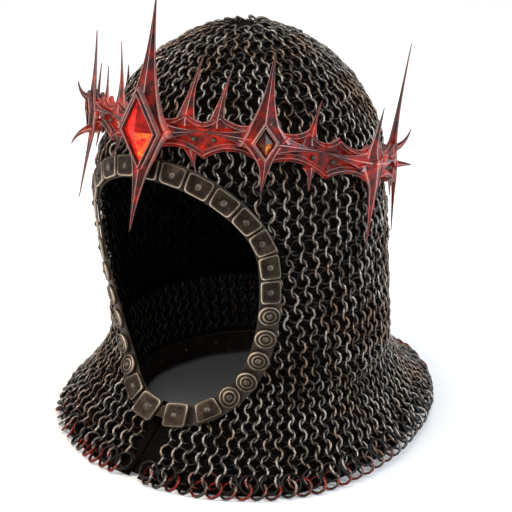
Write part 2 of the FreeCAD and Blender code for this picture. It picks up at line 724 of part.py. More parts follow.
def hoop_foot(angle):
    """Plan point of the hoop's inner face, just clear of the mail at its lower edge."""
    level = crown_level(angle) - size("hoop_below")
    return skin(angle, level, size("hoop_fit"))


def hoop_outward(angle):
    step = 0.02
    along = hoop_foot(angle + step) - hoop_foot(angle - step)
    return Vector(along.y, -along.x, 0).normalize()


def crown_point(angle, rise, stand):
    """Point on the crown: rise above its middle line, stand off the hoop's inner face.

    Spikes lean back once they are past the hoop's edges.
    """
    foot = hoop_foot(angle)
    beyond = max(0.0, rise - size("hoop_above")) + min(0.0, rise + size("hoop_below"))
    plan = Vector(foot.x, foot.y + size("crown_lean") * beyond, 0) + hoop_outward(angle) * stand
    return Vector(plan.x, plan.y, crown_level(angle) + rise)


def hoop_section(angle):
    foot = hoop_foot(angle)
    thick = hoop_outward(angle) * size("hoop_thickness")
    low = Vector(foot.x, foot.y, crown_level(angle) - size("hoop_below"))
    high = Vector(foot.x, foot.y, crown_level(angle) + size("hoop_above"))
    return Part.makePolygon([low, high, high + thick, low + thick, low])


hoop_halves = []
for start in (0, math.pi):
    hoop_halves.append(Part.makeLoft(
        [hoop_section(start + math.pi * k / (HOOP_STATIONS / 2))
         for k in range(HOOP_STATIONS // 2 + 1)], True, True))
hoop = hoop_halves[0].fuse(hoop_halves[1])
finish_part("crown_hoop", hoop)


def faceted(rings):
    """Closed form of flat triangles through rings of four corners."""
    faces = []

    def add_triangle(a, b, c):
        if (b - a).cross(c - a).Length > 1e-6:
            faces.append(Part.Face(Part.makePolygon([a, b, c, a])))

    for lower, upper in zip(rings, rings[1:]):
        for k in range(4):
            n = (k + 1) % 4
            add_triangle(lower[k], lower[n], upper[n])
            add_triangle(lower[k], upper[n], upper[k])
    for ring in (rings[0], rings[-1]):
        add_triangle(ring[0], ring[1], ring[2])
        add_triangle(ring[0], ring[2], ring[3])
    solid = Part.Solid(Part.Shell(faces))
    if solid.Volume < 0:
        solid.reverse()
    return solid


outer_stand = size("hoop_thickness") + clearance


def diamond_rings(path, width, depth, upright=False):
    """Diamond rings along a path of (angle, rise, stand), across it or upright."""
    points = [crown_point(*step) for step in path]
    rings = []
    for k, point in enumerate(points):
        share = k / (len(points) - 1)
        outward = hoop_outward(path[k][0])
        across = Vector(0, 0, 1)
        if not upright:
            along = (points[min(k + 1, len(points) - 1)] - points[max(k - 1, 0)]).normalize()
            outward = (outward - along * outward.dot(along)).normalize()
            across = along.cross(outward)
        half = width(share) / 2
        deep = depth(share) / 2
        rings.append([point + across * half, point + outward * deep,
                      point - across * half, point - outward * deep])
    return rings


# A spike's tip, the shares of its width and depth that run on as a stem, and their two tapers
TIP_SIZE = 0.7
STEM_SHARE = 0.2
STEM_DEPTH_SHARE = 0.35
FOOT_POWER = 2.6
STEM_POWER = 0.8
# How far along a spike its bend lies, and the arm's width as a share of the star's
SPIKE_BEND = 0.4
CLAW_BEND = 0.8
ARM_SHARE = 0.8
STAR_STEPS = 10


def taper(full, stem_share):
    """Size along a spike: a foot that flares fast, and a stem that runs on to the tip."""
    stem = full * stem_share
    foot = full - stem - TIP_SIZE
    return lambda t: TIP_SIZE + foot * (1 - t) ** FOOT_POWER + stem * (1 - t) ** STEM_POWER


def thorn(base, bend, tip, width, depth, steps=8):
    """Curved spike from base over bend to tip, each an (angle, rise, stand) triple."""
    path = []
    for k in range(steps + 1):
        t = k / steps
        path.append(tuple((1 - t) ** 2 * a + 2 * t * (1 - t) * b + t * t * c
                          for a, b, c in zip(base, bend, tip)))
    return faceted(diamond_rings(path, taper(width, STEM_SHARE), taper(depth, STEM_DEPTH_SHARE)))


def rail(start, end, rise_at, stand, width, depth, steps=6):
    """Bar along the hoop between two angles, with its rise given by a function."""
    path = [(start + (end - start) * k / steps, rise_at(k / steps), stand) for k in range(steps + 1)]
    return faceted(diamond_rings(path, lambda t: width, lambda t: depth, True))


DEG = math.pi / 180
STAR_STEP = 45 * DEG
rail_stand = outer_stand + size("rail_depth") / 2
segment_half = STAR_STEP / 2 - size("segment_gap") / 2 / size("head_back_reach")


def upper_rise(t):
    """Upper rail sags between the stars."""
    return size("upper_rail_level") - size("upper_rail_sag") * math.sin(math.pi * t / 2)


def lower_rise(t):
    """Lower rail is one half of a scallop between star and joint."""
    scallop = size("lower_rail_sag") * math.sin(math.pi * t)
    return scallop - size("lower_rail_level") - size("lower_rail_drop") * t


def star_segment(center, up, down, width, depth, drop_reach, thorns, claws, gem):
    """One segment: a star with its spikes, its rails out to the joints, and its thorns."""
    stand = outer_stand + depth / 2
    solids = [
        thorn((center, -2, stand), (center, up * SPIKE_BEND, stand), (center, up, stand - 2),
              width, depth, STAR_STEPS),
        thorn((center, 2, stand), (center, -down * SPIKE_BEND, stand + drop_reach / 2),
              (center, -down, stand + drop_reach), width, depth, STAR_STEPS),
    ]
    for side in (1, -1):
        joint = center + side * segment_half
        heart = (center - side * DEG, 0, stand)
        elbow = (center + side * segment_half * SPIKE_BEND, 0, stand)
        solids.append(thorn(heart, elbow, (joint, 2, rail_stand), width * ARM_SHARE, depth))
        solids.append(rail(center, joint, upper_rise, rail_stand, size("rail_width"), size("rail_depth")))
        solids.append(rail(center, joint, lower_rise, rail_stand, size("rail_width"), size("rail_depth")))
    for offset, rise, tip_offset, tip_rise, thick in thorns:
        base = (center + offset * DEG, rise, rail_stand)
        bend = (center + offset * DEG, rise + (tip_rise - rise) * SPIKE_BEND, rail_stand)
        tip = (center + tip_offset * DEG, tip_rise, rail_stand + 1)
        solids.append(thorn(base, bend, tip, thick, size("rail_depth")))
    for rise, tip_rise, reach, thick in claws:
        base = (center, rise, rail_stand)
        bend = (center, rise, rail_stand + reach * CLAW_BEND)
        tip = (center, tip_rise, rail_stand + reach)
        solids.append(thorn(base, bend, tip, thick, thick * ARM_SHARE))
    body = solids[0].fuse(solids[1:])
    if gem:
        pocket = gem_form(gem, clearance)
        pocket.Placement = gem_placement(center, depth, gem)
        body = body.cut(pocket)
    return body


def gem_form(word, growth):
    """Cut stone: a diamond girdle with a raised table and a shallow back."""
    half_width = size(word + "_gem_half_width") + growth
    half_height = size(word + "_gem_half_height") + growth
    height = size(word + "_gem_depth") / 2

    def ring(share, level):
        return [Vector(half_width * share, 0, level), Vector(0, half_height * share, level),
                Vector(-half_width * share, 0, level), Vector(0, -half_height * share, level)]

    back = -height - growth
    return faceted([ring(0.5, back), ring(1, -growth), ring(1, growth), ring(0.3, height + growth)])


def gem_placement(center, depth, word):
    along = hoop_foot(center + 0.02) - hoop_foot(center - 0.02)
    along = Vector(along.x, along.y, 0).normalize()
    up = (crown_point(center, 10, 0) - crown_point(center, 0, 0)).normalize()
    up = (up - along * up.dot(along)).normalize()
    outward = along.cross(up)
    seat = crown_point(center, 0, outer_stand + depth - size(word + "_gem_depth") / 4)
    return Placement(seat, Rotation(along, up, outward, "ZXY"))


# Thorns: angle and rise of the base, angle and rise of the tip, width at the base
FRONT_THORN = (16, 5, 20, 50, 17)
FRONT_DROP = (18, -11, 20.6, -26, 11)
SIDE_DROP = (18.5, -11, 20, -24, 12)


def mirrored(thorn_size):
    offset, rise, tip_offset, tip_rise, thick = thorn_size
    return (-offset, rise, -tip_offset, tip_rise, thick)


REAR_CLAWS = [(8, 22, 15, 14), (-5, -6, 18, 14)]
REAR_THORNS = [(17, 4, 18, 30, 13)]
BACK_THORN = (16, 5, 16, 28, 13)

# Each segment: angle, upper and lower spike, width and depth of the star, how far the lower
# spike reaches out, thorns, claws, gem
front_depth = size("front_star_depth")
star_depth = size("star_depth")
SEGMENTS = {
    "front": (0, 88, 70, 46, front_depth, 7,
              [FRONT_THORN, mirrored(FRONT_THORN), FRONT_DROP, mirrored(FRONT_DROP)], [], "front"),
    "temple_left": (45, 57, 34, 36, star_depth, 1,
                    [(-17, 5, -14, 42, 14), (17, 4, 19, 34, 14), (17, -11, 17, -27, 12)], [], "temple"),
    "temple_right": (-45, 54, 62, 36, star_depth, 6,
                     [(17, 5, 16, 32, 14), (-17, 4, -19, 34, 14), (-17, -11, -17, -27, 12)],
                     [(8, 20, 14, 14), (-14, -24, 18, 14)], "temple"),
    "side_left": (90, 38, 58, 34, star_depth, 2, [SIDE_DROP], [], None),
    "side_right": (-90, 38, 58, 34, star_depth, 2, [mirrored(SIDE_DROP)], [], None),
    "rear_left": (135, 84, 56, 34, star_depth, 7, REAR_THORNS, REAR_CLAWS, None),
    "rear_right": (-135, 84, 56, 34, star_depth, 7, [mirrored(t) for t in REAR_THORNS], REAR_CLAWS, None),
    "back": (180, 50, 54, 34, star_depth, 7, [BACK_THORN, mirrored(BACK_THORN)], [], None),
}
for word, (angle, up, down, width, depth, drop_reach, thorns, claws, gem) in SEGMENTS.items():
    center = angle * DEG
    finish_part("crown_%s" % word,
                star_segment(center, up, down, width, depth, drop_reach, thorns, claws, gem))
    if gem:
        finish_part("gem_%s" % word, gem_form(gem, 0), gem_placement(center, depth, gem))

# Studs on the hoop beside each joint of the segments
STUD_OFFSET = 4
STUD_RISE = -4.5
studs = []
stud_radius = size("crown_stud_radius")
stud_form = rivet_form(stud_radius * 0.6, stud_radius, size("crown_stud_height"), size("crown_stud_lift"))
for joint in range(8):
    for side in (-1, 1):
        angle = (22.5 + 45 * joint + side * STUD_OFFSET) * DEG
        seat = crown_point(angle, STUD_RISE, outer_stand + size("crown_stud_lift"))
        studs.append(moved(stud_form, Placement(seat, Rotation(Vector(0, 0, 1), hoop_outward(angle)))))
finish_part("crown_studs", Part.makeCompound(studs))

# Hem rings: one row of larger rings on the outside of the hem
ring_outer = size("hem_ring_radius") + size("hem_ring_wire")


def hem_level(angle):
    """Level of the mantle's lower edge under the shoulder arch."""
    level = 0.0
    for _ in range(12):
        y = skin(angle, level).y - size("shoulder_arch_center")
        rise = math.sqrt(max(0.0, arch_radius ** 2 - min(abs(y), arch_radius) ** 2)) - (arch_radius - arch)
        level = max(0.0, rise)
    return level


def ring_at(angle):
    """Ring that lies flat on the skin just above the hem."""
    level = hem_level(angle) + size("hem_ring_rise")
    center = skin(angle, level)
    normal = skin_normal(angle, level)
    along = Vector(0, 0, 1).cross(normal).normalize()
    uphill = normal.cross(along)
    bulge = 0.0
    for turn in range(12):
        spoke = turn * 30 * DEG
        for radius in (0, ring_outer):
            probe = center + (along * math.cos(spoke) + uphill * math.sin(spoke)) * radius
            bulge = max(bulge, (skin(skin_angle(probe), probe.z) - center).dot(normal))
    seat = center + normal * (bulge + size("hem_ring_wire") + clearance)
    return moved(Part.makeTorus(size("hem_ring_radius"), size("hem_ring_wire")),
                 Placement(seat, Rotation(Vector(0, 0, 1), normal))), seat


def fold_distance(point, side):
    """Signed distance from the fold plane, positive on the lapel."""
    top, hem, outward = fold_line(side)
    across = outward.cross(hem - top).normalize()
    if across.z > 0:
        across = across * -1
    return (point - top).dot(across)


ring_pitch = 2 * ring_outer + size("hem_ring_gap")
ring_margin = ring_outer + size("hem_ring_gap")
groups = {"mantle": [], "left": [], "right": []}
for side, word in ((1, "left"), (-1, "right")):
    angle = math.asin((gap_hem + ring_margin) / size("hem_half_width"))
    while angle < math.pi:
        ring, seat = ring_at(side * angle)
        distance = fold_distance(seat, side)
        if distance > ring_margin:
            groups[word].append(ring)
        elif distance < -ring_margin and abs(seat.x) > ring_margin:
            groups["mantle"].append(ring)
        ahead = (skin(angle + 0.01, hem_level(angle)) - skin(angle, hem_level(angle))).Length / 0.01
        angle += ring_pitch / ahead
finish_part("hem_rings", Part.makeCompound(groups["mantle"]))
finish_part("lapel_rings_left", Part.makeCompound(groups["left"]))
finish_part("lapel_rings_right", Part.makeCompound(groups["right"]))
for side in (1, -1):
    top, hem, outward = fold_line(side)
    print("fold line", side, top, (hem - top).normalize())
print("hook pivot", chin_placement(pivot_x, end_plate_seat).Base, chin_normal)

doc.recompute()
for feature in doc.Objects:
    if "Invalid" in feature.State or "Error" in feature.State:
        raise RuntimeError("failed object " + feature.Label)
os.makedirs("parts", exist_ok=True)
for feature in parts:
    if feature.Shape.isNull() or not feature.Shape.isValid():
        raise RuntimeError("bad shape " + feature.Label)
    feature.Shape.exportStep("parts/" + feature.Label + ".step")
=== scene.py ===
"""Looks of the mail coif: linked rings, a plated face edging and a lacquered thorn crown.

All lengths are in metres. The face opening looks along -Y and +X is the wearer's left.
"""

import math

import bpy
import numpy as np
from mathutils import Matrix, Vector


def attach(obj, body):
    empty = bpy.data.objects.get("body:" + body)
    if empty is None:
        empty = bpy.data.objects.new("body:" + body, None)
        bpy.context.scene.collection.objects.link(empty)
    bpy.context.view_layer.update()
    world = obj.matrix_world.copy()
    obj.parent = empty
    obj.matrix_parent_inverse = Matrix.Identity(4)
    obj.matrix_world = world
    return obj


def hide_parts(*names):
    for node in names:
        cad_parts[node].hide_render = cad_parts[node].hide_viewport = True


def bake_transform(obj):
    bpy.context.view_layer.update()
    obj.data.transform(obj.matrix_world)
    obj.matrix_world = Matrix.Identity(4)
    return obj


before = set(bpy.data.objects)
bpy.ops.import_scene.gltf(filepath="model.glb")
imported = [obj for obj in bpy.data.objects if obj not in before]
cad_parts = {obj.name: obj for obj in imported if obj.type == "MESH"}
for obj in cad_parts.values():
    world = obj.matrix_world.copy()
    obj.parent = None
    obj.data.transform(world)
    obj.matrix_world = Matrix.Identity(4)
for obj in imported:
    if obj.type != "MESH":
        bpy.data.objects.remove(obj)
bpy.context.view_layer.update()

MM = 0.001
DEG = math.pi / 180
random = np.random.default_rng(7)

# Form of the mail, the same half ellipses as the CAD part, in millimetres
THROAT_LEVEL = 66.0
BROW_LEVEL = 196.0
DOME_TOP = 305.0
THROAT = (110.0, 84.0, 112.0)
HEM = (150.0, 146.0, 176.0)
HEAD = (102.0, 112.0, 110.0)
FLARE_POWER = 1.7
AXIS_Y = (HEM[1] - HEM[2]) / 2
ARCH_HEIGHT = 8.0
ARCH_HALF_LENGTH = 125.0
ARCH_CENTER = 16.0
ARCH_RADIUS = (ARCH_HALF_LENGTH ** 2 + ARCH_HEIGHT ** 2) / (2 * ARCH_HEIGHT)
DOME_JOINT = 236.0
STRAP_WIDTH = 15.0
STRAP_LIFT = 0.8
STRAP_THICKNESS = 1.6
DOME_POWER = 1.9
DOME_SIDE_POWER = 1.8

# Face opening: an arch above its widest level and a pointed chin below it
OPENING_LEVEL = 158.0
OPENING_HALF_WIDTH = 68.0
OPENING_ABOVE = 58.0
OPENING_BELOW = 116.0
ARCH_POWER = 2.1
CHIN_POWER = 1.9
ARCH_SIDE_POWER = 0.94
CHIN_SIDE_POWER = 0.79

# Steps in radians over which directions along the skin and along an edge are taken
SKIN_STEP = 0.01
EDGE_STEP = 0.02


def reaches(level, outset=0.0):
    """Half width, front reach and back reach of the skin for an array of levels."""
    level = np.asarray(level, float)
    flare = np.clip(1 - level / THROAT_LEVEL, 0, 1) ** FLARE_POWER
    share = np.clip((level - THROAT_LEVEL) / (BROW_LEVEL - THROAT_LEVEL), 0, 1)
    smooth = share * share * (3 - 2 * share)
    above = np.clip((level - BROW_LEVEL) / (DOME_TOP + outset - BROW_LEVEL), 0, 1)
    crown = (1 - above ** DOME_POWER) ** (1 / DOME_SIDE_POWER)
    result = []
    for throat, hem, head in zip(THROAT, HEM, HEAD):
        body = throat + (hem - throat) * flare + (head - throat) * smooth + outset
        result.append(body * crown)
    return result


def skin(angle, level, outset=0.0):
    """Points of the skin, with the angle in radians from the front."""
    side, front, back = reaches(level, outset)
    reach = np.where(np.cos(angle) > 0, front, back)
    return np.stack(np.broadcast_arrays(
        side * np.sin(angle), AXIS_Y - reach * np.cos(angle), np.asarray(level, float)), -1)


def unit(vectors):
    length = np.linalg.norm(vectors, axis=-1, keepdims=True)
    return vectors / np.maximum(length, 1e-9)


def skin_frame(angle, level):
    """Tangent towards the wearer's left, upward direction and outward normal of the skin."""
    level = np.asarray(level, float)
    low = np.minimum(level, DOME_TOP - 2.5)
    tangent = unit(skin(angle + SKIN_STEP, low) - skin(angle - SKIN_STEP, low))
    rise = skin(angle, np.minimum(low + 1, DOME_TOP - 0.5)) - skin(angle, low - 1)
    normal = unit(np.cross(tangent, rise))
    upward = np.cross(normal, tangent)
    return tangent, upward, normal


def hem_level(angle):
    """Level of the hem, which arches up a little over the shoulders."""
    level = np.zeros_like(np.asarray(angle, float))
    for _ in range(10):
        y = skin(angle, level)[..., 1] - ARCH_CENTER
        rise = np.sqrt(np.maximum(0, ARCH_RADIUS ** 2 - y * y)) - (ARCH_RADIUS - ARCH_HEIGHT)
        level = np.maximum(0.0, rise)
    return level


def opening_outline(turn):
    """Half width and level of the face opening's edge: an arch above, a pointed chin below."""
    cosine, sine = np.cos(turn), np.sin(turn)
    upper = sine >= 0
    height = np.where(upper, OPENING_ABOVE, OPENING_BELOW)
    across = np.where(upper, ARCH_SIDE_POWER, CHIN_SIDE_POWER)
    along = np.where(upper, 2 / ARCH_POWER, 2 / CHIN_POWER)
    x = np.copysign(OPENING_HALF_WIDTH * np.abs(cosine) ** across, cosine)
    return x, OPENING_LEVEL + np.copysign(height * np.abs(sine) ** along, sine)


def edge_point(turn, sideways, height):
    """Points beside the opening's edge, outward over the skin and raised off it."""
    def on_skin(t):
        x, level = opening_outline(t)
        return np.arcsin(np.clip(x / reaches(level)[0], -1, 1)), level
    angle, level = on_skin(turn)
    x1, z1 = opening_outline(turn + EDGE_STEP)
    x0, z0 = opening_outline(turn - EDGE_STEP)
    tangent = np.stack([x1 - x0, np.zeros_like(x1), z1 - z0], -1)
    normal = skin_frame(angle, level)[2]
    tangent = unit(tangent - normal * np.sum(tangent * normal, -1, keepdims=True))
    beside = skin(angle, level) + np.cross(tangent, normal) * np.asarray(sideways)[..., None]
    side, front, back = reaches(beside[..., 2])
    reach = np.where(beside[..., 1] < AXIS_Y, front, back)
    angle = np.arctan2(beside[..., 0] / side, (AXIS_Y - beside[..., 1]) / reach)
    level = beside[..., 2]
    return skin(angle, level) + skin_frame(angle, level)[2] * np.asarray(height)[..., None]


# Mesh helpers


def make_piece(name, vertices, faces, material, body, smooth=True, values=None, sharp=None):
    """Mesh object from points in millimetres, riding on a body if one is given."""
    mesh = bpy.data.meshes.new(name)
    mesh.from_pydata(np.asarray(vertices) * MM, [], faces)
    for key, array in (values or {}).items():
        attribute = mesh.attributes.new(key, "FLOAT", "POINT")
        attribute.data.foreach_set("value", np.asarray(array, np.float32))
    mesh.polygons.foreach_set("use_smooth", np.full(len(mesh.polygons), smooth))
    if sharp:
        mesh.set_sharp_from_angle(angle=sharp * DEG)
    mesh.materials.append(material)
    piece = bpy.data.objects.new(name, mesh)
    bpy.context.collection.objects.link(piece)
    if body:
        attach(piece, body)
    return piece


def grid_faces(rows, columns, wrap_rows=False, wrap_columns=True):
    """Quads of a grid of points, as an array of four indices each."""
    i = np.arange(rows if wrap_rows else rows - 1)
    j = np.arange(columns if wrap_columns else columns - 1)
    i, j = np.meshgrid(i, j, indexing="ij")
    ahead, beside = (i + 1) % rows, (j + 1) % columns
    return np.stack([i * columns + j, i * columns + beside, ahead * columns + beside,
                     ahead * columns + j], -1).reshape(-1, 4)


def closed_faces(rows, columns, flip):
    """Faces of a closed form: the quads between its rows and a cap at each end."""
    quads = grid_faces(rows, columns)
    caps = [list(range(columns))[::-1], list(range((rows - 1) * columns, rows * columns))]
    if flip:
        quads, caps = quads[:, ::-1], [cap[::-1] for cap in caps]
    return list(quads) + caps


class Collector:
    """Gathers several closed forms into one mesh."""

    def __init__(self):
        self.vertices, self.faces, self.values, self.count = [], [], {}, 0

    def add(self, vertices, faces, **values):
        vertices = np.asarray(vertices).reshape(-1, 3)
        self.vertices.append(vertices)
        self.faces.extend((np.asarray(f) + self.count).tolist() for f in faces)
        for key, array in values.items():
            self.values.setdefault(key, []).append(np.broadcast_to(array, (len(vertices),)))
        self.count += len(vertices)

    def piece(self, name, material, body, **options):
        values = {key: np.concatenate(arrays) for key, arrays in self.values.items()}
        return make_piece(name, np.concatenate(self.vertices), self.faces, material, body,
                          values=values, **options)


# Materials


def new_material(name):
    material = bpy.data.materials.new(name)
    material.use_nodes = True
    nodes, links = material.node_tree.nodes, material.node_tree.links
    return material, nodes, links, nodes["Principled BSDF"]


def noise(nodes, links, scale, detail=6.0, roughness=0.6):
    where = nodes.new("ShaderNodeTexCoord")
    texture = nodes.new("ShaderNodeTexNoise")
    texture.inputs["Scale"].default_value = scale
    texture.inputs["Detail"].default_value = detail
    texture.inputs["Roughness"].default_value = roughness
    links.new(where.outputs["Object"], texture.inputs["Vector"])
    return texture.outputs["Fac"]


def ramp(nodes, links, source, stops):
    """Colour ramp from (position, colour) stops."""
    node = nodes.new("ShaderNodeValToRGB")
    for _ in range(len(stops) - 2):
        node.color_ramp.elements.new(0.5)
    for element, (position, color) in zip(node.color_ramp.elements, stops):
        element.position = position
        color = color if isinstance(color, tuple) else (color, color, color)
        element.color = (*color, 1)
    links.new(source, node.inputs["Fac"])
    return node.outputs["Color"]


def mix(nodes, links, factor, first, second, mode="MIX"):
    node = nodes.new("ShaderNodeMix")
    node.data_type = "RGBA"
    node.blend_type = mode
    color_a, color_b = [s for s in node.inputs if s.type == "RGBA"]
    for socket, value in ((node.inputs[0], factor), (color_a, first), (color_b, second)):
        if isinstance(value, tuple):
            socket.default_value = (*value, 1)
        elif isinstance(value, float):
            socket.default_value = value
        else:
            links.new(value, socket)
    return [s for s in node.outputs if s.type == "RGBA"][0]


def math_node(nodes, links, operation, first, second=0.5, clamp=False):
    node = nodes.new("ShaderNodeMath")
    node.operation = operation
    node.use_clamp = clamp
    for socket, value in zip(node.inputs, (first, second)):
        if isinstance(value, float):
            socket.default_value = value
        else:
            links.new(value, socket)
    return node.outputs[0]


def value_of(nodes, name):
    node = nodes.new("ShaderNodeAttribute")
    node.attribute_name = name
    return node.outputs["Fac"]


def bump(nodes, links, shader, height, strength, distance):
    node = nodes.new("ShaderNodeBump")
    node.inputs["Strength"].default_value = strength
    node.inputs["Distance"].default_value = distance
    links.new(height, node.inputs["Height"])
    links.new(node.outputs["Normal"], shader.inputs["Normal"])


def mail_material(name, painted=False):
    """Blackened steel wire: near black with painted shade in the depths, lighter on its crests with
    rubbed wear and a painted highlight, red where painted.
    """
    material, nodes, links, shader = new_material(name)
    crest = value_of(nodes, "crest")
    patch = noise(nodes, links, 34.0, 5.0)
    speck = noise(nodes, links, 420.0, 4.0, 0.7)
    shade_glint_and_wear = math_node(nodes, links, "ADD", crest, math_node(
        nodes, links, "MULTIPLY", math_node(nodes, links, "SUBTRACT", speck, 0.5), 0.9))
    # Painted shade and highlight: the colour runs from near black where the wire lies deep to pale
    # on its crests, with wear mixed in
    color = ramp(nodes, links, shade_glint_and_wear, [
        (0.25, (0.006, 0.005, 0.004)), (0.58, (0.026, 0.021, 0.017)),
        (0.86, (0.070, 0.060, 0.050)), (1.00, (0.280, 0.250, 0.220))])
    rust = ramp(nodes, links, patch, [(0.44, 0.0), (0.60, 0.75)])
    color = mix(nodes, links, rust, color, (0.55, 0.34, 0.20), "MULTIPLY")
    if painted:
        red = math_node(nodes, links, "MULTIPLY", value_of(nodes, "red"),
                        ramp(nodes, links, noise(nodes, links, 150.0, 3.0),
                             [(0.42, 0.0), (0.52, 1.0)]))
        color = mix(nodes, links, red, color, (0.17, 0.012, 0.007))
    links.new(color, shader.inputs["Base Color"])
    shader.inputs["Metallic"].default_value = 0.8
    links.new(ramp(nodes, links, speck, [(0.3, 0.24), (0.7, 0.46)]), shader.inputs["Roughness"])
    bump(nodes, links, shader, speck, 0.25, 0.0004)
    return material


def plain_dark_material(name, color, roughness):
    material, nodes, links, shader = new_material(name)
    grain = noise(nodes, links, 300.0, 6.0)
    tone = ramp(nodes, links, grain, [(0.3, tuple(0.45 * c for c in color)), (0.7, color)])
    links.new(tone, shader.inputs["Base Color"])
    shader.inputs["Roughness"].default_value = roughness
    shader.inputs["Specular IOR Level"].default_value = 0.02
    bump(nodes, links, shader, grain, 0.4, 0.0008)
    return material


def plate_material(name, dark, middle, bright):
    """Browned steel with scratches and pits, and pale rims: wear with a painted highlight."""
    material, nodes, links, shader = new_material(name)
    rim = value_of(nodes, "rim")
    patch = noise(nodes, links, 120.0, 7.0, 0.7)
    grit = noise(nodes, links, 900.0, 5.0, 0.7)
    tone = math_node(nodes, links, "ADD", math_node(nodes, links, "MULTIPLY", patch, 0.7),
                     math_node(nodes, links, "MULTIPLY", grit, 0.3))
    light = tuple(4.0 * c for c in middle)
    color = ramp(nodes, links, tone, [(0.36, dark), (0.52, middle), (0.72, light)])
    pale_edges = math_node(nodes, links, "MULTIPLY", rim,
                     math_node(nodes, links, "ADD", grit, 0.25, True))
    color = mix(nodes, links, pale_edges, color, bright)
    links.new(color, shader.inputs["Base Color"])
    shader.inputs["Metallic"].default_value = 0.8
    shader.inputs["Specular IOR Level"].default_value = 0.2
    links.new(ramp(nodes, links, grit, [(0.3, 0.36), (0.7, 0.62)]), shader.inputs["Roughness"])
    bump(nodes, links, shader, tone, 0.55, 0.0009)
    return material


def leather_material(name, color):
    """Dark oiled leather with pores and rubbed patches."""
    material, nodes, links, shader = new_material(name)
    pores = nodes.new("ShaderNodeTexVoronoi")
    pores.inputs["Scale"].default_value = 700.0
    where = nodes.new("ShaderNodeTexCoord")
    links.new(where.outputs["Object"], pores.inputs["Vector"])
    patch = noise(nodes, links, 60.0, 7.0, 0.65)
    tone = ramp(nodes, links, patch, [(0.35, tuple(0.4 * c for c in color)), (0.6, color),
                                      (0.8, tuple(2.2 * c for c in color))])
    links.new(tone, shader.inputs["Base Color"])
    shader.inputs["Roughness"].default_value = 0.58
    shader.inputs["Specular IOR Level"].default_value = 0.25
    bump(nodes, links, shader, pores.outputs["Distance"], 0.5, 0.0006)
    return material


def crown_material(name, glow):
    """Dark red lacquer over steel, rubbed through to pale metal along ridges and rims.

    The value across runs from -1 to 1 over a blade, with its ridge at 0 and its rims at the ends.
    """
    material, nodes, links, shader = new_material(name)
    across = math_node(nodes, links, "ABSOLUTE", value_of(nodes, "across"))
    patch = noise(nodes, links, 95.0, 6.0, 0.65)
    fine = noise(nodes, links, 650.0, 5.0, 0.7)
    lacquer = ramp(nodes, links, patch, [
        (0.36, (0.006, 0.003, 0.004)), (0.47, (0.022, 0.004, 0.004)),
        (0.56, (0.090, 0.004, 0.003)), (0.72, (0.300, 0.010, 0.005))])
    streak = ramp(nodes, links, fine, [(0.52, 0.0), (0.72, 0.22)])
    lacquer = mix(nodes, links, streak, lacquer, (0.26, 0.08, 0.06))
    lines = ramp(nodes, links, across, [(0.0, 0.8), (0.05, 0.30), (0.09, 0.0), (0.82, 0.0),
                                        (0.88, 0.50), (0.96, 0.15)])
    pale_edges = math_node(nodes, links, "MULTIPLY", lines,
                     math_node(nodes, links, "ADD", fine, 0.30, True))
    color = mix(nodes, links, pale_edges, lacquer, (0.72, 0.42, 0.37))
    links.new(color, shader.inputs["Base Color"])
    shader.inputs["Metallic"].default_value = 0.25
    links.new(ramp(nodes, links, fine, [(0.3, 0.26), (0.7, 0.50)]), shader.inputs["Roughness"])
    shader.inputs["Specular IOR Level"].default_value = 0.22
    # Painted glow: the lacquer gives out red light in patches, though no lamp is in it
    glow_share = math_node(nodes, links, "MULTIPLY", value_of(nodes, "ember"),
                     ramp(nodes, links, patch, [(0.40, 0.05), (0.62, 1.0)]))
    shader.inputs["Emission Color"].default_value = (1.0, 0.030, 0.008, 1)
    links.new(math_node(nodes, links, "MULTIPLY", glow_share, glow), shader.inputs["Emission Strength"])
    bump(nodes, links, shader, fine, 0.3, 0.0005)
    return material


def gem_material(name, deep, bright, glint_color):
    """Cut stone with a painted glow inside and painted glints: the lower left-hand facet glows the
    most.
    """
    material, nodes, links, shader = new_material(name)
    glow_share = value_of(nodes, "ember")
    veins = noise(nodes, links, 160.0, 8.0, 0.75)
    stone_glow = math_node(nodes, links, "MULTIPLY", glow_share,
                      ramp(nodes, links, veins, [(0.34, 0.35), (0.68, 1.6)]))
    color = ramp(nodes, links, stone_glow, [(0.05, deep), (0.50, bright), (1.0, glint_color)])
    links.new(color, shader.inputs["Base Color"])
    links.new(color, shader.inputs["Emission Color"])
    links.new(math_node(nodes, links, "MULTIPLY", stone_glow, 1.3), shader.inputs["Emission Strength"])
    shader.inputs["Roughness"].default_value = 0.35
    shader.inputs["Specular IOR Level"].default_value = 0.12
    shader.inputs["Coat Weight"].default_value = 0.12
    shader.inputs["Coat Roughness"].default_value = 0.08
    return material


MAIL = mail_material("mail_steel")
HEM_STEEL = mail_material("hem_steel", painted=True)
# Near black sheet material: painted shade in the gaps of the mail and behind the slit
SHADE_SHEET = plain_dark_material("painted_shade_sheet", (0.006, 0.0045, 0.0035), 0.95)
PLATE = plate_material("plate_steel", (0.004, 0.003, 0.002), (0.018, 0.012, 0.008),
                       (0.60, 0.48, 0.36))
RIVET = plate_material("rivet_steel", (0.020, 0.016, 0.012), (0.085, 0.070, 0.056),
                       (0.60, 0.52, 0.42))
LEATHER = leather_material("strap_leather", (0.030, 0.018, 0.011))
LINING = leather_material("lining_leather", (0.012, 0.008, 0.006))
CROWN = crown_material("crown_lacquer", 0.45)
RED_STONE = gem_material("red_stone", (0.05, 0.002, 0.002), (0.60, 0.012, 0.006),
                         (1.0, 0.15, 0.015))
AMBER_STONE = gem_material("amber_stone", (0.010, 0.003, 0.002), (0.16, 0.030, 0.008),
                           (0.9, 0.36, 0.05))

# Mail: rows of linked rings, each row leaning the other way from the rows beside it

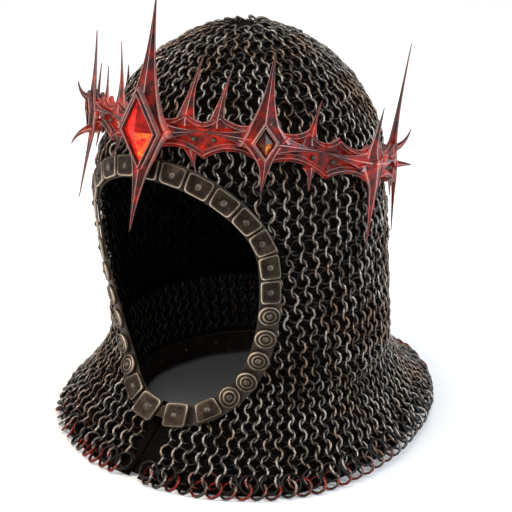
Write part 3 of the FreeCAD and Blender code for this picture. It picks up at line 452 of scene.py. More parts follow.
RING_STEPS = 12
WIRE_STEPS = 4
PITCH_OVER_RADIUS = 1.72
ROW_OVER_RADIUS = 1.2
WIRE_OVER_RADIUS = 0.185
LEAN = 30 * DEG
REST_LEVEL = 0.3
# Depth of the rings' middles under the skin, and how much deeper they lie under edging and crown
RING_DEPTH = 1.5
SUNK_DEPTH = 1.9
SINK_RUN = 8.0
EDGING_REACH = 24.0
CROWN_REACH = 26.0
CROWN_OFFSET = 4.0
# Where rings and the dark sheets of painted shade under them stop beside the opening and the slit,
# and the sheets' two depths
OPENING_MARGIN = 10.0
SHADE_SHEET_MARGIN = 3.0
RING_SLIT_SHARE = 0.9
SHADE_SHEET_SLIT_MARGIN = 2.0
SHADE_SHEET_OUTER = 2.6
SHADE_SHEET_INNER = 3.2
# Spread of the rings' places, tilts, leans and tones
PLACE_SPREAD = 0.25
TILT_SPREAD = 7 * DEG
LEAN_SPREAD = 6 * DEG
TONE_SPREAD = 0.06
EDGE_SAMPLES = 240
ring_phi = np.arange(RING_STEPS) * 2 * math.pi / RING_STEPS
wire_psi = (np.arange(WIRE_STEPS) + 0.5) * 2 * math.pi / WIRE_STEPS

outline_turns = np.linspace(0, 2 * math.pi, EDGE_SAMPLES, endpoint=False)
outline_points = edge_point(outline_turns, np.zeros(EDGE_SAMPLES), np.zeros(EDGE_SAMPLES))


def opening_distance(points):
    """Distance of points on the skin from the opening's edge, negative inside it."""
    gaps = np.linalg.norm(points[:, None] - outline_points[None], axis=-1).min(1)
    upper = points[:, 2] > OPENING_LEVEL
    dz = (points[:, 2] - OPENING_LEVEL) / np.where(upper, OPENING_ABOVE, OPENING_BELOW)
    sine = np.minimum(np.abs(dz), 1) ** np.where(upper, ARCH_POWER / 2, CHIN_POWER / 2)
    across = np.where(upper, ARCH_SIDE_POWER, CHIN_SIDE_POWER)
    limit = OPENING_HALF_WIDTH * np.sqrt(1 - sine ** 2) ** across
    inside = (np.abs(points[:, 0]) < limit) & (np.abs(dz) < 1) & (points[:, 1] < AXIS_Y)
    return np.where(inside, -gaps, gaps)


CROWN_LEVEL = 219.0
CROWN_TILT = 33.0
TEMPLE_RAISE = 5.0


def crown_level(angle):
    """Level of the crown's middle line: high in front, a little raised at the temples."""
    cosine = np.cos(angle)
    raised = np.where(cosine > 0, TEMPLE_RAISE * np.sin(2 * angle) ** 2, 0)
    return CROWN_LEVEL + CROWN_TILT * cosine + raised


def row_length(level):
    """Length round the skin at a level."""
    angles = np.linspace(0, 2 * math.pi, 97)
    points = skin(angles, np.full(97, level))
    return np.linalg.norm(np.diff(points, axis=0), axis=1).sum()


def climb(level, step):
    """Level reached after a step up the skin, averaged round it."""
    angles = np.linspace(0, 2 * math.pi, 16, endpoint=False)
    fine = np.linspace(level, min(level + 12, DOME_TOP - 0.05), 60)
    path = np.stack([skin(angles, np.full(16, z)) for z in fine])
    length = np.linalg.norm(np.diff(path, axis=0), axis=-1).mean(1).cumsum()
    return float(np.interp(step, np.append(0, length), fine))


def ring_rows(start, end, counts, row=0):
    """Rows between two levels: (level, rings in the row, ring radius, lean sign)."""
    rows = []
    level = start
    while level < end:
        length = row_length(level)
        count = next(n for limit, n in counts if length >= limit)
        radius = length / count / PITCH_OVER_RADIUS
        rows.append((level, count, radius, row))
        following = climb(level, ROW_OVER_RADIUS * radius)
        if following - level < 0.02:
            break
        level = following
        row += 1
    return rows


def place_rings(rows, level_of=None):
    """Centers, frames and radii of all the rings of some rows."""
    angles, levels, radii, signs = [], [], [], []
    for level, count, radius, row in rows:
        angle = (np.arange(count) + 0.5 * (row % 2) + 0.25) * 2 * math.pi / count
        angles.append(angle)
        levels.append(level_of(angle, level) if level_of else np.full(count, level))
        radii.append(np.full(count, radius))
        signs.append(np.full(count, 1 if row % 2 else -1))
    return [np.concatenate(a) for a in (angles, levels, radii, signs)]


# Level whose section sets the even spacing of the rings
EVEN_LEVEL = 120.0


def even_angles(angle):
    """Angles moved so that rings are evenly spaced round the half ellipses."""
    grid = np.linspace(0, 2 * math.pi, 721)
    points = skin(grid, np.full(721, EVEN_LEVEL))
    travel = np.append(0, np.linalg.norm(np.diff(points, axis=0), axis=1).cumsum())
    return np.interp(np.mod(angle, 2 * math.pi) / (2 * math.pi) * travel[-1], travel, grid)


def rings_mesh(center, tangent, upward, normal, radius, lean, wire):
    """Vertices and faces of many tori, with how far each vertex stands out as its crest value."""
    across = tangent * np.cos(lean)[:, None] - normal * np.sin(lean)[:, None]
    axis = np.cross(across, upward)
    spoke = (np.cos(ring_phi)[None, :, None] * across[:, None]
             + np.sin(ring_phi)[None, :, None] * upward[:, None])
    ring = (radius[:, None, None, None]
            + wire[:, None, None, None] * np.cos(wire_psi)[None, None, :, None])
    beside = (wire[:, None, None] * np.sin(wire_psi)[None, None, :])[..., None]
    points = center[:, None, None] + ring * spoke[:, :, None] + beside * axis[:, None, None]
    base = grid_faces(RING_STEPS, WIRE_STEPS, wrap_rows=True)[:, ::-1]
    first = np.arange(len(center)) * RING_STEPS * WIRE_STEPS
    faces = (base[None] + first[:, None, None]).reshape(-1, 4)
    height = np.einsum("nijk,nk->nij", points - center[:, None, None], normal)
    crest = 0.5 + 0.5 * height / (np.sin(LEAN) * radius + wire)[:, None, None]
    return points.reshape(-1, 3), faces, crest.reshape(-1)


def ring_layer(name, angles, levels, radii, signs, material, body, keep=None, red=None):
    """One piece of linked rings on the skin, sunk where the edging or the crown lies on it."""
    tangent, upward, normal = skin_frame(angles, levels)
    foot = skin(angles, levels)
    gap = opening_distance(foot)
    crown_gap = np.abs(levels - crown_level(angles) + CROWN_OFFSET)
    sink_edge = np.clip((EDGING_REACH - gap) / SINK_RUN, 0, 1)
    sink_crown = np.clip((CROWN_REACH - crown_gap) / SINK_RUN, 0, 1)
    depth = RING_DEPTH + SUNK_DEPTH * np.maximum(sink_edge, sink_crown)
    center = foot - normal * depth[:, None] + random.normal(0, PLACE_SPREAD, (len(foot), 3))
    tilt = random.normal(0, TILT_SPREAD, len(foot))[:, None]
    upward, normal = (upward * np.cos(tilt) + normal * np.sin(tilt),
                      normal * np.cos(tilt) - upward * np.sin(tilt))
    mask = gap > OPENING_MARGIN
    if keep is not None:
        mask &= keep(foot, levels, radii)
    lean = signs * (LEAN + random.normal(0, LEAN_SPREAD, len(signs)))
    wire = radii * WIRE_OVER_RADIUS
    vertices, faces, crest = rings_mesh(center[mask], tangent[mask], upward[mask], normal[mask],
                                        radii[mask], lean[mask], wire[mask])
    per_ring = RING_STEPS * WIRE_STEPS
    lowest = vertices.reshape(-1, per_ring, 3)[..., 2].min(1)
    vertices[:, 2] += np.repeat(np.maximum(0, REST_LEVEL - lowest), per_ring)
    tone = np.repeat(random.normal(0, TONE_SPREAD, mask.sum()), per_ring)
    values = {"crest": crest + tone}
    if red is not None:
        values["red"] = np.repeat(red(foot[mask], levels[mask]), per_ring)
    piece = make_piece(name, vertices, faces, material, body, values=values)
    return piece


def shade_sheet_layer(name, angles, shares, level_of, keep, body):
    """Thin dark sheet in the depth of the rings, painted shade in the gaps between them: a grid
    over the skin, closed round its rims.
    """
    grid_angle, share = np.meshgrid(angles, shares)
    levels = level_of(grid_angle, share)
    foot = skin(grid_angle, levels)
    normal = skin_frame(grid_angle, levels)[2]
    rows, columns = grid_angle.shape
    outer = (foot - normal * SHADE_SHEET_OUTER).reshape(-1, 3)
    inner = (foot - normal * SHADE_SHEET_INNER).reshape(-1, 3)
    wrap = abs(angles[-1] - angles[0]) > 2 * math.pi - 0.2
    quads = grid_faces(rows, columns, wrap_columns=wrap)
    middle = foot.reshape(-1, 3)[quads].mean(1)
    mid_level = levels.reshape(-1)[quads].mean(1)
    quads = quads[keep(middle, mid_level)]
    sides = np.concatenate([quads[:, [k, (k + 1) % 4]] for k in range(4)])
    order = np.sort(sides, axis=1)
    _, index, counts = np.unique(order, axis=0, return_index=True, return_counts=True)
    rim = sides[index[counts == 1]]
    total = rows * columns
    rim_quads = np.stack([rim[:, 1], rim[:, 0], rim[:, 0] + total, rim[:, 1] + total], -1)
    faces = np.concatenate([quads, quads[:, ::-1] + total, rim_quads])
    used, faces = np.unique(faces, return_inverse=True)
    vertices = np.concatenate([outer, inner])[used]
    piece = make_piece(name, vertices, faces.reshape(-1, 4), SHADE_SHEET, body)
    return piece


def outside_opening(points, levels):
    return opening_distance(points) > SHADE_SHEET_MARGIN


def everywhere(points, levels):
    return levels > 0


def same_level(angle, level):
    return level + 0 * angle


# Front corners of the mantle
# Reach of the corners' own pieces: half width, rearmost place and top level
CORNER_HALF_WIDTH = 95
CORNER_BACK = -70
CORNER_TOP = 46


def bend_at_fold(piece, word):
    """Bake a piece's placement into its mesh."""
    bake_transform(piece)


def near_corners(points, levels):
    """Which points lie on the front corners or on the mail next to them."""
    return ((np.abs(points[:, 0]) < CORNER_HALF_WIDTH) & (points[:, 1] < CORNER_BACK)
            & (levels < CORNER_TOP))


SLIT_HALF_GAP = 1.5
SLIT_FLARE = 2.0


def slit_half_gap(level):
    """Half width of the slit, which opens a little towards the hem."""
    return SLIT_HALF_GAP + SLIT_FLARE * (THROAT_LEVEL - level) / THROAT_LEVEL


def clear_of_slit(points, levels, radii):
    return np.abs(points[:, 0]) > slit_half_gap(levels) + radii * RING_SLIT_SHARE


# Rings in a row: (shortest row in millimetres, count)
HOOD_COUNTS = [(0, 72)]
DOME_COUNTS = [(520, 72), (400, 58), (300, 44), (205, 30), (135, 20), (75, 12), (0, 6)]
MANTLE_COUNTS = [(0, 88)]

hood_rows = ring_rows(THROAT_LEVEL + 2, DOME_JOINT - 2, HOOD_COUNTS)
dome_start = climb(hood_rows[-1][0], ROW_OVER_RADIUS * hood_rows[-1][2])
dome_rows = ring_rows(dome_start, DOME_TOP - 1.25, DOME_COUNTS, row=len(hood_rows))
angles, levels, radii, signs = place_rings(hood_rows)
hood_rings = ring_layer("mail_hood_rings", even_angles(angles), levels, radii, signs, MAIL, "coif")
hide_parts("mail_hood")
angles, levels, radii, signs = place_rings(dome_rows)
dome_rings = ring_layer("mail_dome_rings", even_angles(angles), levels, radii, signs, MAIL, "coif")
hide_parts("mail_dome")


def mantle_level(angle, share):
    """Level at a share of the way from the hem up to the throat."""
    hem = hem_level(angle)
    return hem + (THROAT_LEVEL - hem) * share


mantle_rows = ring_rows(4.5, THROAT_LEVEL - 1.5, MANTLE_COUNTS)


def mantle_ring_level(angle, level):
    return mantle_level(angle, level / THROAT_LEVEL)


def front_patch(side):
    """Rings of one front corner of the mantle and of the mail next to it."""
    def keep(points, levels, radii):
        own_side = points[:, 0] * side > 0
        return own_side & near_corners(points, levels) & clear_of_slit(points, levels, radii)
    return keep


def rest_of_mantle(points, levels, radii):
    front = points[:, 1] < AXIS_Y
    clear = ~front | clear_of_slit(points, levels, radii)
    return ~near_corners(points, levels) & clear


def redness(points, levels):
    """Red paint on the outermost rings, in patches."""
    near_hem = np.clip(1.2 - (levels - 2) / 9, 0, 1)
    return near_hem * (random.random(len(points)) > 0.35)


angles, levels, radii, signs = place_rings(mantle_rows, mantle_ring_level)
angles = even_angles(angles)
mantle_rings = ring_layer("mail_mantle_rings", angles, levels, radii, signs, HEM_STEEL, "coif",
                          rest_of_mantle, redness)
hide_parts("mail_mantle")
for side, word in ((1, "left"), (-1, "right")):
    patch = ring_layer("mail_corner_rings_" + word, angles, levels, radii, signs, HEM_STEEL, None,
                       front_patch(side), redness)
    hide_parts("lapel_" + word)
    bend_at_fold(patch, word)

# Dark sheets under the rings: painted shade in the gaps between them
around = np.linspace(-math.pi, math.pi, 240, endpoint=False)
shade_sheet_layer("mail_hood_shade_sheet", around, np.linspace(THROAT_LEVEL, DOME_JOINT, 72), same_level,
              outside_opening, "coif")
dome_shares = np.append(np.sin(np.linspace(0, 1, 40)[:-1] * math.pi / 2), 0.9995)
shade_sheet_layer("mail_dome_shade_sheet", around[::3], DOME_JOINT + (DOME_TOP - DOME_JOINT) * dome_shares,
              same_level, everywhere, "coif")


def mantle_sheet_keep(points, levels):
    front = points[:, 1] < AXIS_Y
    slit = front & (np.abs(points[:, 0]) < slit_half_gap(levels) + SHADE_SHEET_SLIT_MARGIN)
    return outside_opening(points, levels) & ~slit & ~near_corners(points, levels)


mantle_shares = np.linspace(0.06, 1, 30)
shade_sheet_layer("mail_mantle_shade_sheet", around, mantle_shares, mantle_level, mantle_sheet_keep, "coif")
for side, word in ((1, "left"), (-1, "right")):
    def corner_keep(points, levels, side=side):
        slit = np.abs(points[:, 0]) < slit_half_gap(levels) + SHADE_SHEET_SLIT_MARGIN
        near = near_corners(points, levels) & (points[:, 0] * side > 0)
        return outside_opening(points, levels) & ~slit & near
    sheet = shade_sheet_layer("mail_corner_shade_sheet_" + word, around, mantle_shares, mantle_level,
                          corner_keep, None)
    bend_at_fold(sheet, word)

# Straps and lining, from the same values as the CAD part


def band(section, stations, name, material, body, **options):
    """Closed form: a closed profile carried over stations, with both ends filled."""
    rings = np.stack([section(t) for t in stations])
    rows, columns = rings.shape[:2]
    middle = rows // 2
    edge, ahead = rings[middle, 1] - rings[middle, 0], rings[middle + 1, 0] - rings[middle, 0]
    inward = np.cross(edge, ahead).dot(rings[middle].mean(0) - rings[middle, 0]) > 0
    faces = closed_faces(rows, columns, inward)
    return make_piece(name, rings.reshape(-1, 3), faces, material, body, **options)


CHIN_GAP_TURN = 0.05
# Profile of the strap: share of its width and of its thickness
STRAP_PROFILE = [(0.0, 0.1), (0.0, 0.75), (0.04, 1.0), (0.12, 0.9), (0.5, 0.96), (0.88, 0.9),
                 (0.96, 1.0), (1.0, 0.75), (1.0, 0.1), (0.96, 0.0), (0.04, 0.0)]


def face_strap_section(turn):
    share, height = np.array(STRAP_PROFILE).T
    return edge_point(np.full(len(share), turn), share * STRAP_WIDTH,
                      STRAP_LIFT + height * STRAP_THICKNESS)


strap_turns = np.linspace(-math.pi / 2 + CHIN_GAP_TURN, 1.5 * math.pi - CHIN_GAP_TURN, 181)
face_strap = band(face_strap_section, strap_turns, "face_strap_leather", LEATHER, "coif", sharp=50)
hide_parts("face_strap")

LINING_TOP = 70.0
LINING_BOTTOM = 3.0
LINING_HALF_ANGLE = 112 * DEG
LINING_INSIDE = 4.8
LINING_FOOT = (88.0, 98.0)
LINING_OUTER_FACE = 0.5
LINING_INNER_FACE = 1.9
LINING_WAVE = 0.3


def lining_point(angle, level, inset):
    """Points of the nape lining, a cone of half ellipses drawn in towards the hem."""
    share = (LINING_TOP - level) / (LINING_TOP - LINING_BOTTOM)
    side = THROAT[0] - LINING_INSIDE
    back = THROAT[2] - LINING_INSIDE
    side = side + (LINING_FOOT[0] - side) * share - inset
    back = back + (LINING_FOOT[1] - back) * share - inset
    reach = np.where(np.cos(angle) > 0, THROAT[1] - LINING_INSIDE - inset, back)
    return np.stack(np.broadcast_arrays(
        side * np.sin(angle), AXIS_Y - reach * np.cos(angle), level), -1)


def lining_section(rows):
    """Profile of the lining or its strap from (level, inset) rows, wavy by a little."""
    level, inset = np.array(rows, float).T

    def section(angle):
        wave = LINING_WAVE * np.sin(9 * angle) * (LINING_TOP - level) / LINING_TOP
        return lining_point(angle, level, inset + wave)
    return section


lining_angles = np.linspace(math.pi - LINING_HALF_ANGLE, math.pi + LINING_HALF_ANGLE, 121)
sheet_levels = np.linspace(LINING_BOTTOM + 0.3, LINING_TOP - 0.3, 9)
lining_rows = ([(z, LINING_OUTER_FACE) for z in sheet_levels]
               + [(z, LINING_INNER_FACE) for z in sheet_levels[::-1]])
lining = band(lining_section(lining_rows), lining_angles, "nape_lining_leather", LINING, "coif",
              sharp=50)
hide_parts("nape_lining")
# Neck strap on the lining: level and inset of each corner of its profile
strap_rows = [(4.2, 3.0), (4.2, 4.6), (5.0, 4.9), (6.0, 4.5), (20.0, 4.5), (21.0, 4.9), (21.8, 4.6),
              (21.8, 3.0)]
neck_strap = band(lining_section(strap_rows), lining_angles[1:-1], "neck_strap_leather", LEATHER,
                  "coif", sharp=50)
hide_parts("neck_strap")
BEAD_RADIUS = 0.9
BEAD_INSET = 5.2
for level, word in ((5.0, "lower"), (21.0, "upper")):
    turn = np.linspace(0, 2 * math.pi, 8, endpoint=False)
    bead = [(level + BEAD_RADIUS * math.cos(t), BEAD_INSET + BEAD_RADIUS * math.sin(t))
            for t in turn]
    bead = band(lining_section(bead), lining_angles[1:-1], "neck_strap_bead_" + word, RIVET, "coif")

# Mail that lies against the inside of the lining, down to the neck strap
LINING_RING_COUNT = 74
LINING_RING_RADIUS = 4.1
LINING_RING_INSET = 4.4
LINING_RING_LEAN = 22 * DEG
LINING_RING_WIRE = 0.2
LINING_PLACE_SPREAD = 0.2
lining_rings = [(level, LINING_RING_COUNT, LINING_RING_RADIUS, row)
                for row, level in enumerate(np.arange(27.0, 67.0, 4.9))]
angles, levels, radii, signs = place_rings(lining_rings)
keep = np.abs(angles - math.pi) < LINING_HALF_ANGLE - 0.05
angles, levels, radii, signs = (a[keep] for a in (angles, levels, radii, signs))
center = lining_point(angles, levels, LINING_RING_INSET)
center = center + random.normal(0, LINING_PLACE_SPREAD, (len(angles), 3))
tangent = unit(lining_point(angles + SKIN_STEP, levels, LINING_RING_INSET)
               - lining_point(angles - SKIN_STEP, levels, LINING_RING_INSET))
rise = (lining_point(angles, levels + 1, LINING_RING_INSET)
        - lining_point(angles, levels - 1, LINING_RING_INSET))
inward = unit(np.cross(rise, tangent))
vertices, faces, crest = rings_mesh(center, tangent, np.cross(inward, tangent), inward, radii,
                                    signs * LINING_RING_LEAN, radii * LINING_RING_WIRE)
lining_mail = make_piece("nape_lining_rings", vertices, faces, MAIL, "coif",
                         values={"crest": crest})

# Dark strip behind the slit, from the chin down to the hem: painted shade where the slit shows the
# inside
SLIT_SHADE_INSET = 6.2
SLIT_SHADE_THICKNESS = 1.4
SLIT_SHADE_HALF_WIDTH = 9.0
SLIT_SHADE_TOP = 39.0
SLIT_SHADE_BOTTOM = 3.0


def slit_shade_section(level):
    x = np.linspace(-1, 1, 9) * SLIT_SHADE_HALF_WIDTH
    x = np.append(x, x[::-1])
    inset = np.repeat([SLIT_SHADE_INSET, SLIT_SHADE_INSET + SLIT_SHADE_THICKNESS], 9)
    side, front, _ = reaches(level, -inset)
    return np.stack([x, AXIS_Y - front * np.sqrt(1 - (x / side) ** 2), np.full(18, level)], -1)


slit_shade_strip = band(slit_shade_section, np.linspace(SLIT_SHADE_TOP, SLIT_SHADE_BOTTOM, 20), "slit_painted_shade", SHADE_SHEET,
              "coif", sharp=50)

# Crown, from the same formula as the CAD part with finer blades
HOOP_BELOW = 16.0
HOOP_ABOVE = 9.0
HOOP_THICKNESS = 2.4
HOOP_FIT = 0.6
SEGMENT_FIT = 0.3
LEAN_BACK = 0.25
OUTER_STAND = HOOP_THICKNESS + SEGMENT_FIT
RAIL_STAND = OUTER_STAND + 2.5
CURVE_STEPS = 26


def hoop_foot(angle):
    return skin(angle, crown_level(angle) - HOOP_BELOW, HOOP_FIT)


def hoop_outward(angle):
    along = hoop_foot(angle + EDGE_STEP) - hoop_foot(angle - EDGE_STEP)
    along[..., 2] = 0
    along = unit(along)
    return np.stack([along[..., 1], -along[..., 0], np.zeros(along.shape[:-1])], -1)


def crown_point(angle, rise, stand):
    """Points above the crown's middle line that stand off it, leaning back past its edges."""
    angle, rise, stand = np.broadcast_arrays(
        *(np.asarray(value, float) for value in (angle, rise, stand)))
    foot = hoop_foot(angle)
    beyond = np.maximum(0, rise - HOOP_ABOVE) + np.minimum(0, rise + HOOP_BELOW)
    plan = foot + hoop_outward(angle) * stand[..., None]
    plan[..., 1] += LEAN_BACK * beyond
    plan[..., 2] = crown_level(angle) + rise
    return plan


# Profile of a blade: place across, height and value across; a rim, a groove and a sharp ridge
BLADE = np.array([
    (1.00, -0.15), (1.00, 0.18), (0.84, 0.42), (0.72, 0.30), (0.10, 0.93), (0.0, 1.0),
    (-0.10, 0.93), (-0.72, 0.30), (-0.84, 0.42), (-1.00, 0.18), (-1.00, -0.15), (0.0, -0.75)])


def bezier(points, t):
    a, b, c = (np.asarray(p, float) for p in points)
    t = t[:, None]
    return (1 - t) ** 2 * a + 2 * t * (1 - t) * b + t * t * c


def add_blade(form, path, half_width, height, glow_share=0.0, upright=False):
    """Closed blade along a path of (angle, rise, stand) rows, with its ridge facing outward."""
    points = crown_point(path[:, 0], path[:, 1], path[:, 2])
    outward = hoop_outward(path[:, 0])
    along = unit(np.gradient(points, axis=0))
    if upright:
        across = np.broadcast_to(np.array([0.0, 0, 1]), along.shape)
    else:
        outward = unit(outward - along * np.sum(outward * along, -1, keepdims=True))
        across = np.cross(along, outward)
    rows = len(points)
    half_width = np.broadcast_to(half_width, (rows,))
    height = np.broadcast_to(height, (rows,))
    body = (points[:, None] + across[:, None] * (half_width[:, None] * BLADE[None, :, 0])[..., None]
            + outward[:, None] * (height[:, None] * BLADE[None, :, 1])[..., None])
    probe = np.cross(body[0, 1] - body[0, 0], body[1, 0] - body[0, 0])
    inward = probe.dot(body[0].mean(0) - body[0, 0]) > 0
    value = np.tile(BLADE[:, 0], rows)
    form.add(body, closed_faces(rows, len(BLADE), inward), across=value, ember=glow_share)


def spike_path(center, base, bend, tip):
    t = np.linspace(0, 1, CURVE_STEPS)
    rows = bezier([base, bend, tip], t)
    rows[:, 0] = (center + rows[:, 0]) * DEG
    return t, rows


# A spike's tip, the shares of its width and depth that run on as a stem, and their two tapers
TIP_SIZE = 0.35
STEM_SHARE = 0.2
STEM_DEPTH_SHARE = 0.35
FOOT_POWER = 2.6
STEM_POWER = 0.8


def taper(full, stem_share, t):
    """Half size along a spike: a foot that flares fast, and a stem that runs on to the tip."""
    stem = full * stem_share
    foot = full - stem - 2 * TIP_SIZE
    return TIP_SIZE + (foot * (1 - t) ** FOOT_POWER + stem * (1 - t) ** STEM_POWER) / 2


def add_spike(form, center, base, bend, tip, width, depth, glow_share=0.0):
    """Spike from base over bend to tip, each as degrees from the star, rise and stand."""
    t, rows = spike_path(center, base, bend, tip)
    glow_along = np.repeat(glow_share * (1 - t) ** 1.5, len(BLADE))
    add_blade(form, rows, taper(width, STEM_SHARE, t), taper(depth, STEM_DEPTH_SHARE, t), glow_along)


def local_frame(center):
    """Middle of a star with its directions along the hoop, up and outward."""
    angle = center * DEG
    along = unit(hoop_foot(np.array(angle + EDGE_STEP)) - hoop_foot(np.array(angle - EDGE_STEP)))
    along = unit(np.array([along[0], along[1], 0]))
    up = unit(crown_point(angle, 10, 0) - crown_point(angle, 0, 0))
    up = unit(up - along * up.dot(along))
    return along, up, np.cross(along, up)


DIAMOND = np.array([(1.0, 0.0), (0.0, 1.0), (-1.0, 0.0), (0.0, -1.0)])


def add_bezel(form, center, stand, half_width, half_height, margin, lift):
    """Diamond frame round a stone: rim, groove, ridge and inner wall."""
    along, up, outward = local_frame(center)
    middle = crown_point(center * DEG, 0, stand)
    slope = half_height / half_width
    loops = [(margin, -2.0, 1.0), (margin, 0.35 * lift, 0.98), (margin - 1.1, 0.62 * lift, 0.84),
             (margin - 2.0, 0.50 * lift, 0.6), (1.9, 0.98 * lift, 0.08), (1.3, lift, 0.0),
             (0.35, 0.72 * lift, 0.3), (0.0, 0.45 * lift, 0.6), (0.0, -2.0, 1.0)]
    rings, value = [], []
    for grow, height, mark in loops:
        corner = DIAMOND * np.array([half_width + grow, half_height + grow * slope * 0.9])
        rings.append(middle + corner[:, :1] * along + corner[:, 1:] * up + outward * height)
        value += [mark] * 4
    quads = grid_faces(len(loops), 4, wrap_rows=True)
    form.add(np.concatenate(rings), list(quads), across=np.array(value), ember=0.15)


def add_gem(name, center, stand, half_width, half_height, height, facet_glow, material, body, node):
    """Stone with four facets that meet over its middle, and a thin girdle."""
    along, up, outward = local_frame(center)
    middle = crown_point(center * DEG, 0, stand)
    form = Collector()
    corners = middle + DIAMOND[:, :1] * half_width * along + DIAMOND[:, 1:] * half_height * up
    top = middle + outward * height
    back = middle - outward * height * 0.8
    shallow = corners - outward * 0.6
    for k in range(4):
        n = (k + 1) % 4
        form.add([corners[k], corners[n], top], [[0, 1, 2]], ember=facet_glow[k])
        form.add([shallow[n], shallow[k], back], [[0, 1, 2]], ember=facet_glow[k])
        form.add([shallow[k], shallow[n], corners[n], corners[k]], [[0, 1, 2, 3]], ember=facet_glow[k])
    piece = form.piece(name, material, body, smooth=False)
    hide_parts(node)
    return piece


def cusp_arc(position, cusps, low, high):
    """Edge that peaks at each cusp and sags between: the height of a chain of arcs."""
    cusps = np.asarray(cusps, float)
    k = np.clip(np.searchsorted(cusps, position, side="right") - 1, 0, len(cusps) - 2)
    share = (position - cusps[k]) / (cusps[k + 1] - cusps[k])
    return low + (high - low) * (1 - np.sin(math.pi * share) ** 0.8)


LOWER_CUSPS = np.arange(-202.5, 203, 22.5)
UPPER_CUSPS = np.array([-225, -208, -196, -180, -163, -152, -135, -117, -106, -90, -73, -61, -45,
                        -29, -16, 0, 16, 29, 45, 61, 73, 90, 106, 117, 135, 152, 163, 180, 196])


def lower_edge(degrees):
    return -cusp_arc(degrees, LOWER_CUSPS, 7.5, 15.0)


def upper_edge(degrees):
    return cusp_arc(degrees, UPPER_CUSPS, 5.5, 11.5)


# Hoop: a band with scalloped edges and a sunk panel with a painted glow between the front stars
GLOW_REACH = 42
STAR_SHADE = 14
REAR_GLOW = 0.45
# Profile of the band: share of its height, thickness and value across
BAND_PROFILE = np.array([
    (0.0, 0.0, 1.0), (0.0, 1.0, 0.95), (0.10, 1.15, 0.8), (0.2, 0.8, 0.5), (0.5, 1.0, 0.4),
    (0.8, 0.8, 0.5), (0.9, 1.15, 0.8), (1.0, 1.0, 0.95), (1.0, 0.0, 1.0)])
hoop_degrees = np.linspace(-180, 180, 721)[:-1]
low_edge, high_edge = lower_edge(hoop_degrees), upper_edge(hoop_degrees)
panel = Collector()
band_rows = []
for share, thickness, _ in BAND_PROFILE:
    rise = low_edge + (high_edge - low_edge) * share
    band_rows.append(crown_point(hoop_degrees * DEG, rise, HOOP_THICKNESS * thickness))
hoop_faces = grid_faces(len(BAND_PROFILE), len(hoop_degrees), wrap_rows=True)
near_star = np.abs((hoop_degrees + 22.5) % 45 - 22.5)
hoop_glow = np.where(np.abs(hoop_degrees) < GLOW_REACH, np.clip(near_star / STAR_SHADE, 0, 1),
                     REAR_GLOW)
panel.add(np.stack(band_rows), list(hoop_faces),
          across=np.repeat(BAND_PROFILE[:, 2], len(hoop_degrees)),
          ember=np.tile(hoop_glow, len(BAND_PROFILE)))
hoop_piece = panel.piece("crown_band", CROWN, "crown", sharp=35)
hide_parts("crown_hoop")

# Thorn: degrees from the star, rise, degrees and rise of its tip, thickness.
# Claw: rise, rise of its tip, reach, thickness.
FRONT_THORN = (16, 5, 20, 50, 17)
FRONT_DROP = (18, -11, 20.6, -26, 11)
SIDE_DROP = (18.5, -11, 20, -24, 12)
REAR_CLAWS = [(8, 22, 15, 14), (-5, -6, 18, 14)]
REAR_THORNS = [(17, 4, 18, 30, 13)]
BACK_THORN = (16, 5, 16, 28, 13)


def mirrored(thorn):
    offset, rise, tip_offset, tip_rise, thick = thorn
    return (-offset, rise, -tip_offset, tip_rise, thick)


# Angle, upper and lower spike, width, depth, reach of the lower spike, thorns, claws, stone
SEGMENTS = {
    "front": (0, 85, 66, 46, 14, 7,
              [FRONT_THORN, mirrored(FRONT_THORN), FRONT_DROP, mirrored(FRONT_DROP)], [], "front"),
    "temple_left": (45, 57, 34, 36, 9, 1,
                    [(-17, 5, -14, 42, 14), (17, 4, 19, 34, 14), (17, -11, 17, -27, 12)],
                    [], "temple"),
    "temple_right": (-45, 54, 62, 36, 9, 6,
                     [(17, 5, 16, 32, 14), (-17, 4, -19, 34, 14), (-17, -11, -17, -27, 12)],
                     [(8, 20, 14, 14), (-14, -24, 18, 14)], "temple"),
    "side_left": (90, 38, 58, 34, 9, 2, [SIDE_DROP], [], None),
    "side_right": (-90, 38, 58, 34, 9, 2, [mirrored(SIDE_DROP)], [], None),
    "rear_left": (135, 84, 56, 34, 9, 7, REAR_THORNS, REAR_CLAWS, None),
    "rear_right": (-135, 84, 56, 34, 9, 7, [mirrored(t) for t in REAR_THORNS], REAR_CLAWS, None),
    "back": (180, 50, 54, 34, 9, 7, [BACK_THORN, mirrored(BACK_THORN)], [], None),
}
# Half width, half height, height, margin of the frame, painted glow of each facet, finish
STONES = {
    "front": (12, 22, 4.5, 4.6, (0.20, 0.44, 0.36, 0.72), RED_STONE),
    "temple": (6, 9, 3.0, 3.4, (0.12, 0.15, 0.24, 0.50), AMBER_STONE),
}
BEZEL_LIFT = 3.0
BEZEL_SINK = 1.5
STONE_SINK = 0.6
# How far along a spike it bends, how far out its upper tip stands, and the arms to the next star
SPIKE_BEND = 0.4
TIP_STAND = 3
ARM_BEND = 9
ARM_END_RISE = 1.5
ARM_SHARE = 0.8
SEGMENT_HALF = 22.2
RAILS = ((upper_edge, 2.4), (lower_edge, 2.6))
RAIL_HEIGHT = 2.6
THORN_DEPTH = 5.0
CLAW_BEND = 0.8
CLAW_DEPTH_SHARE = 0.8

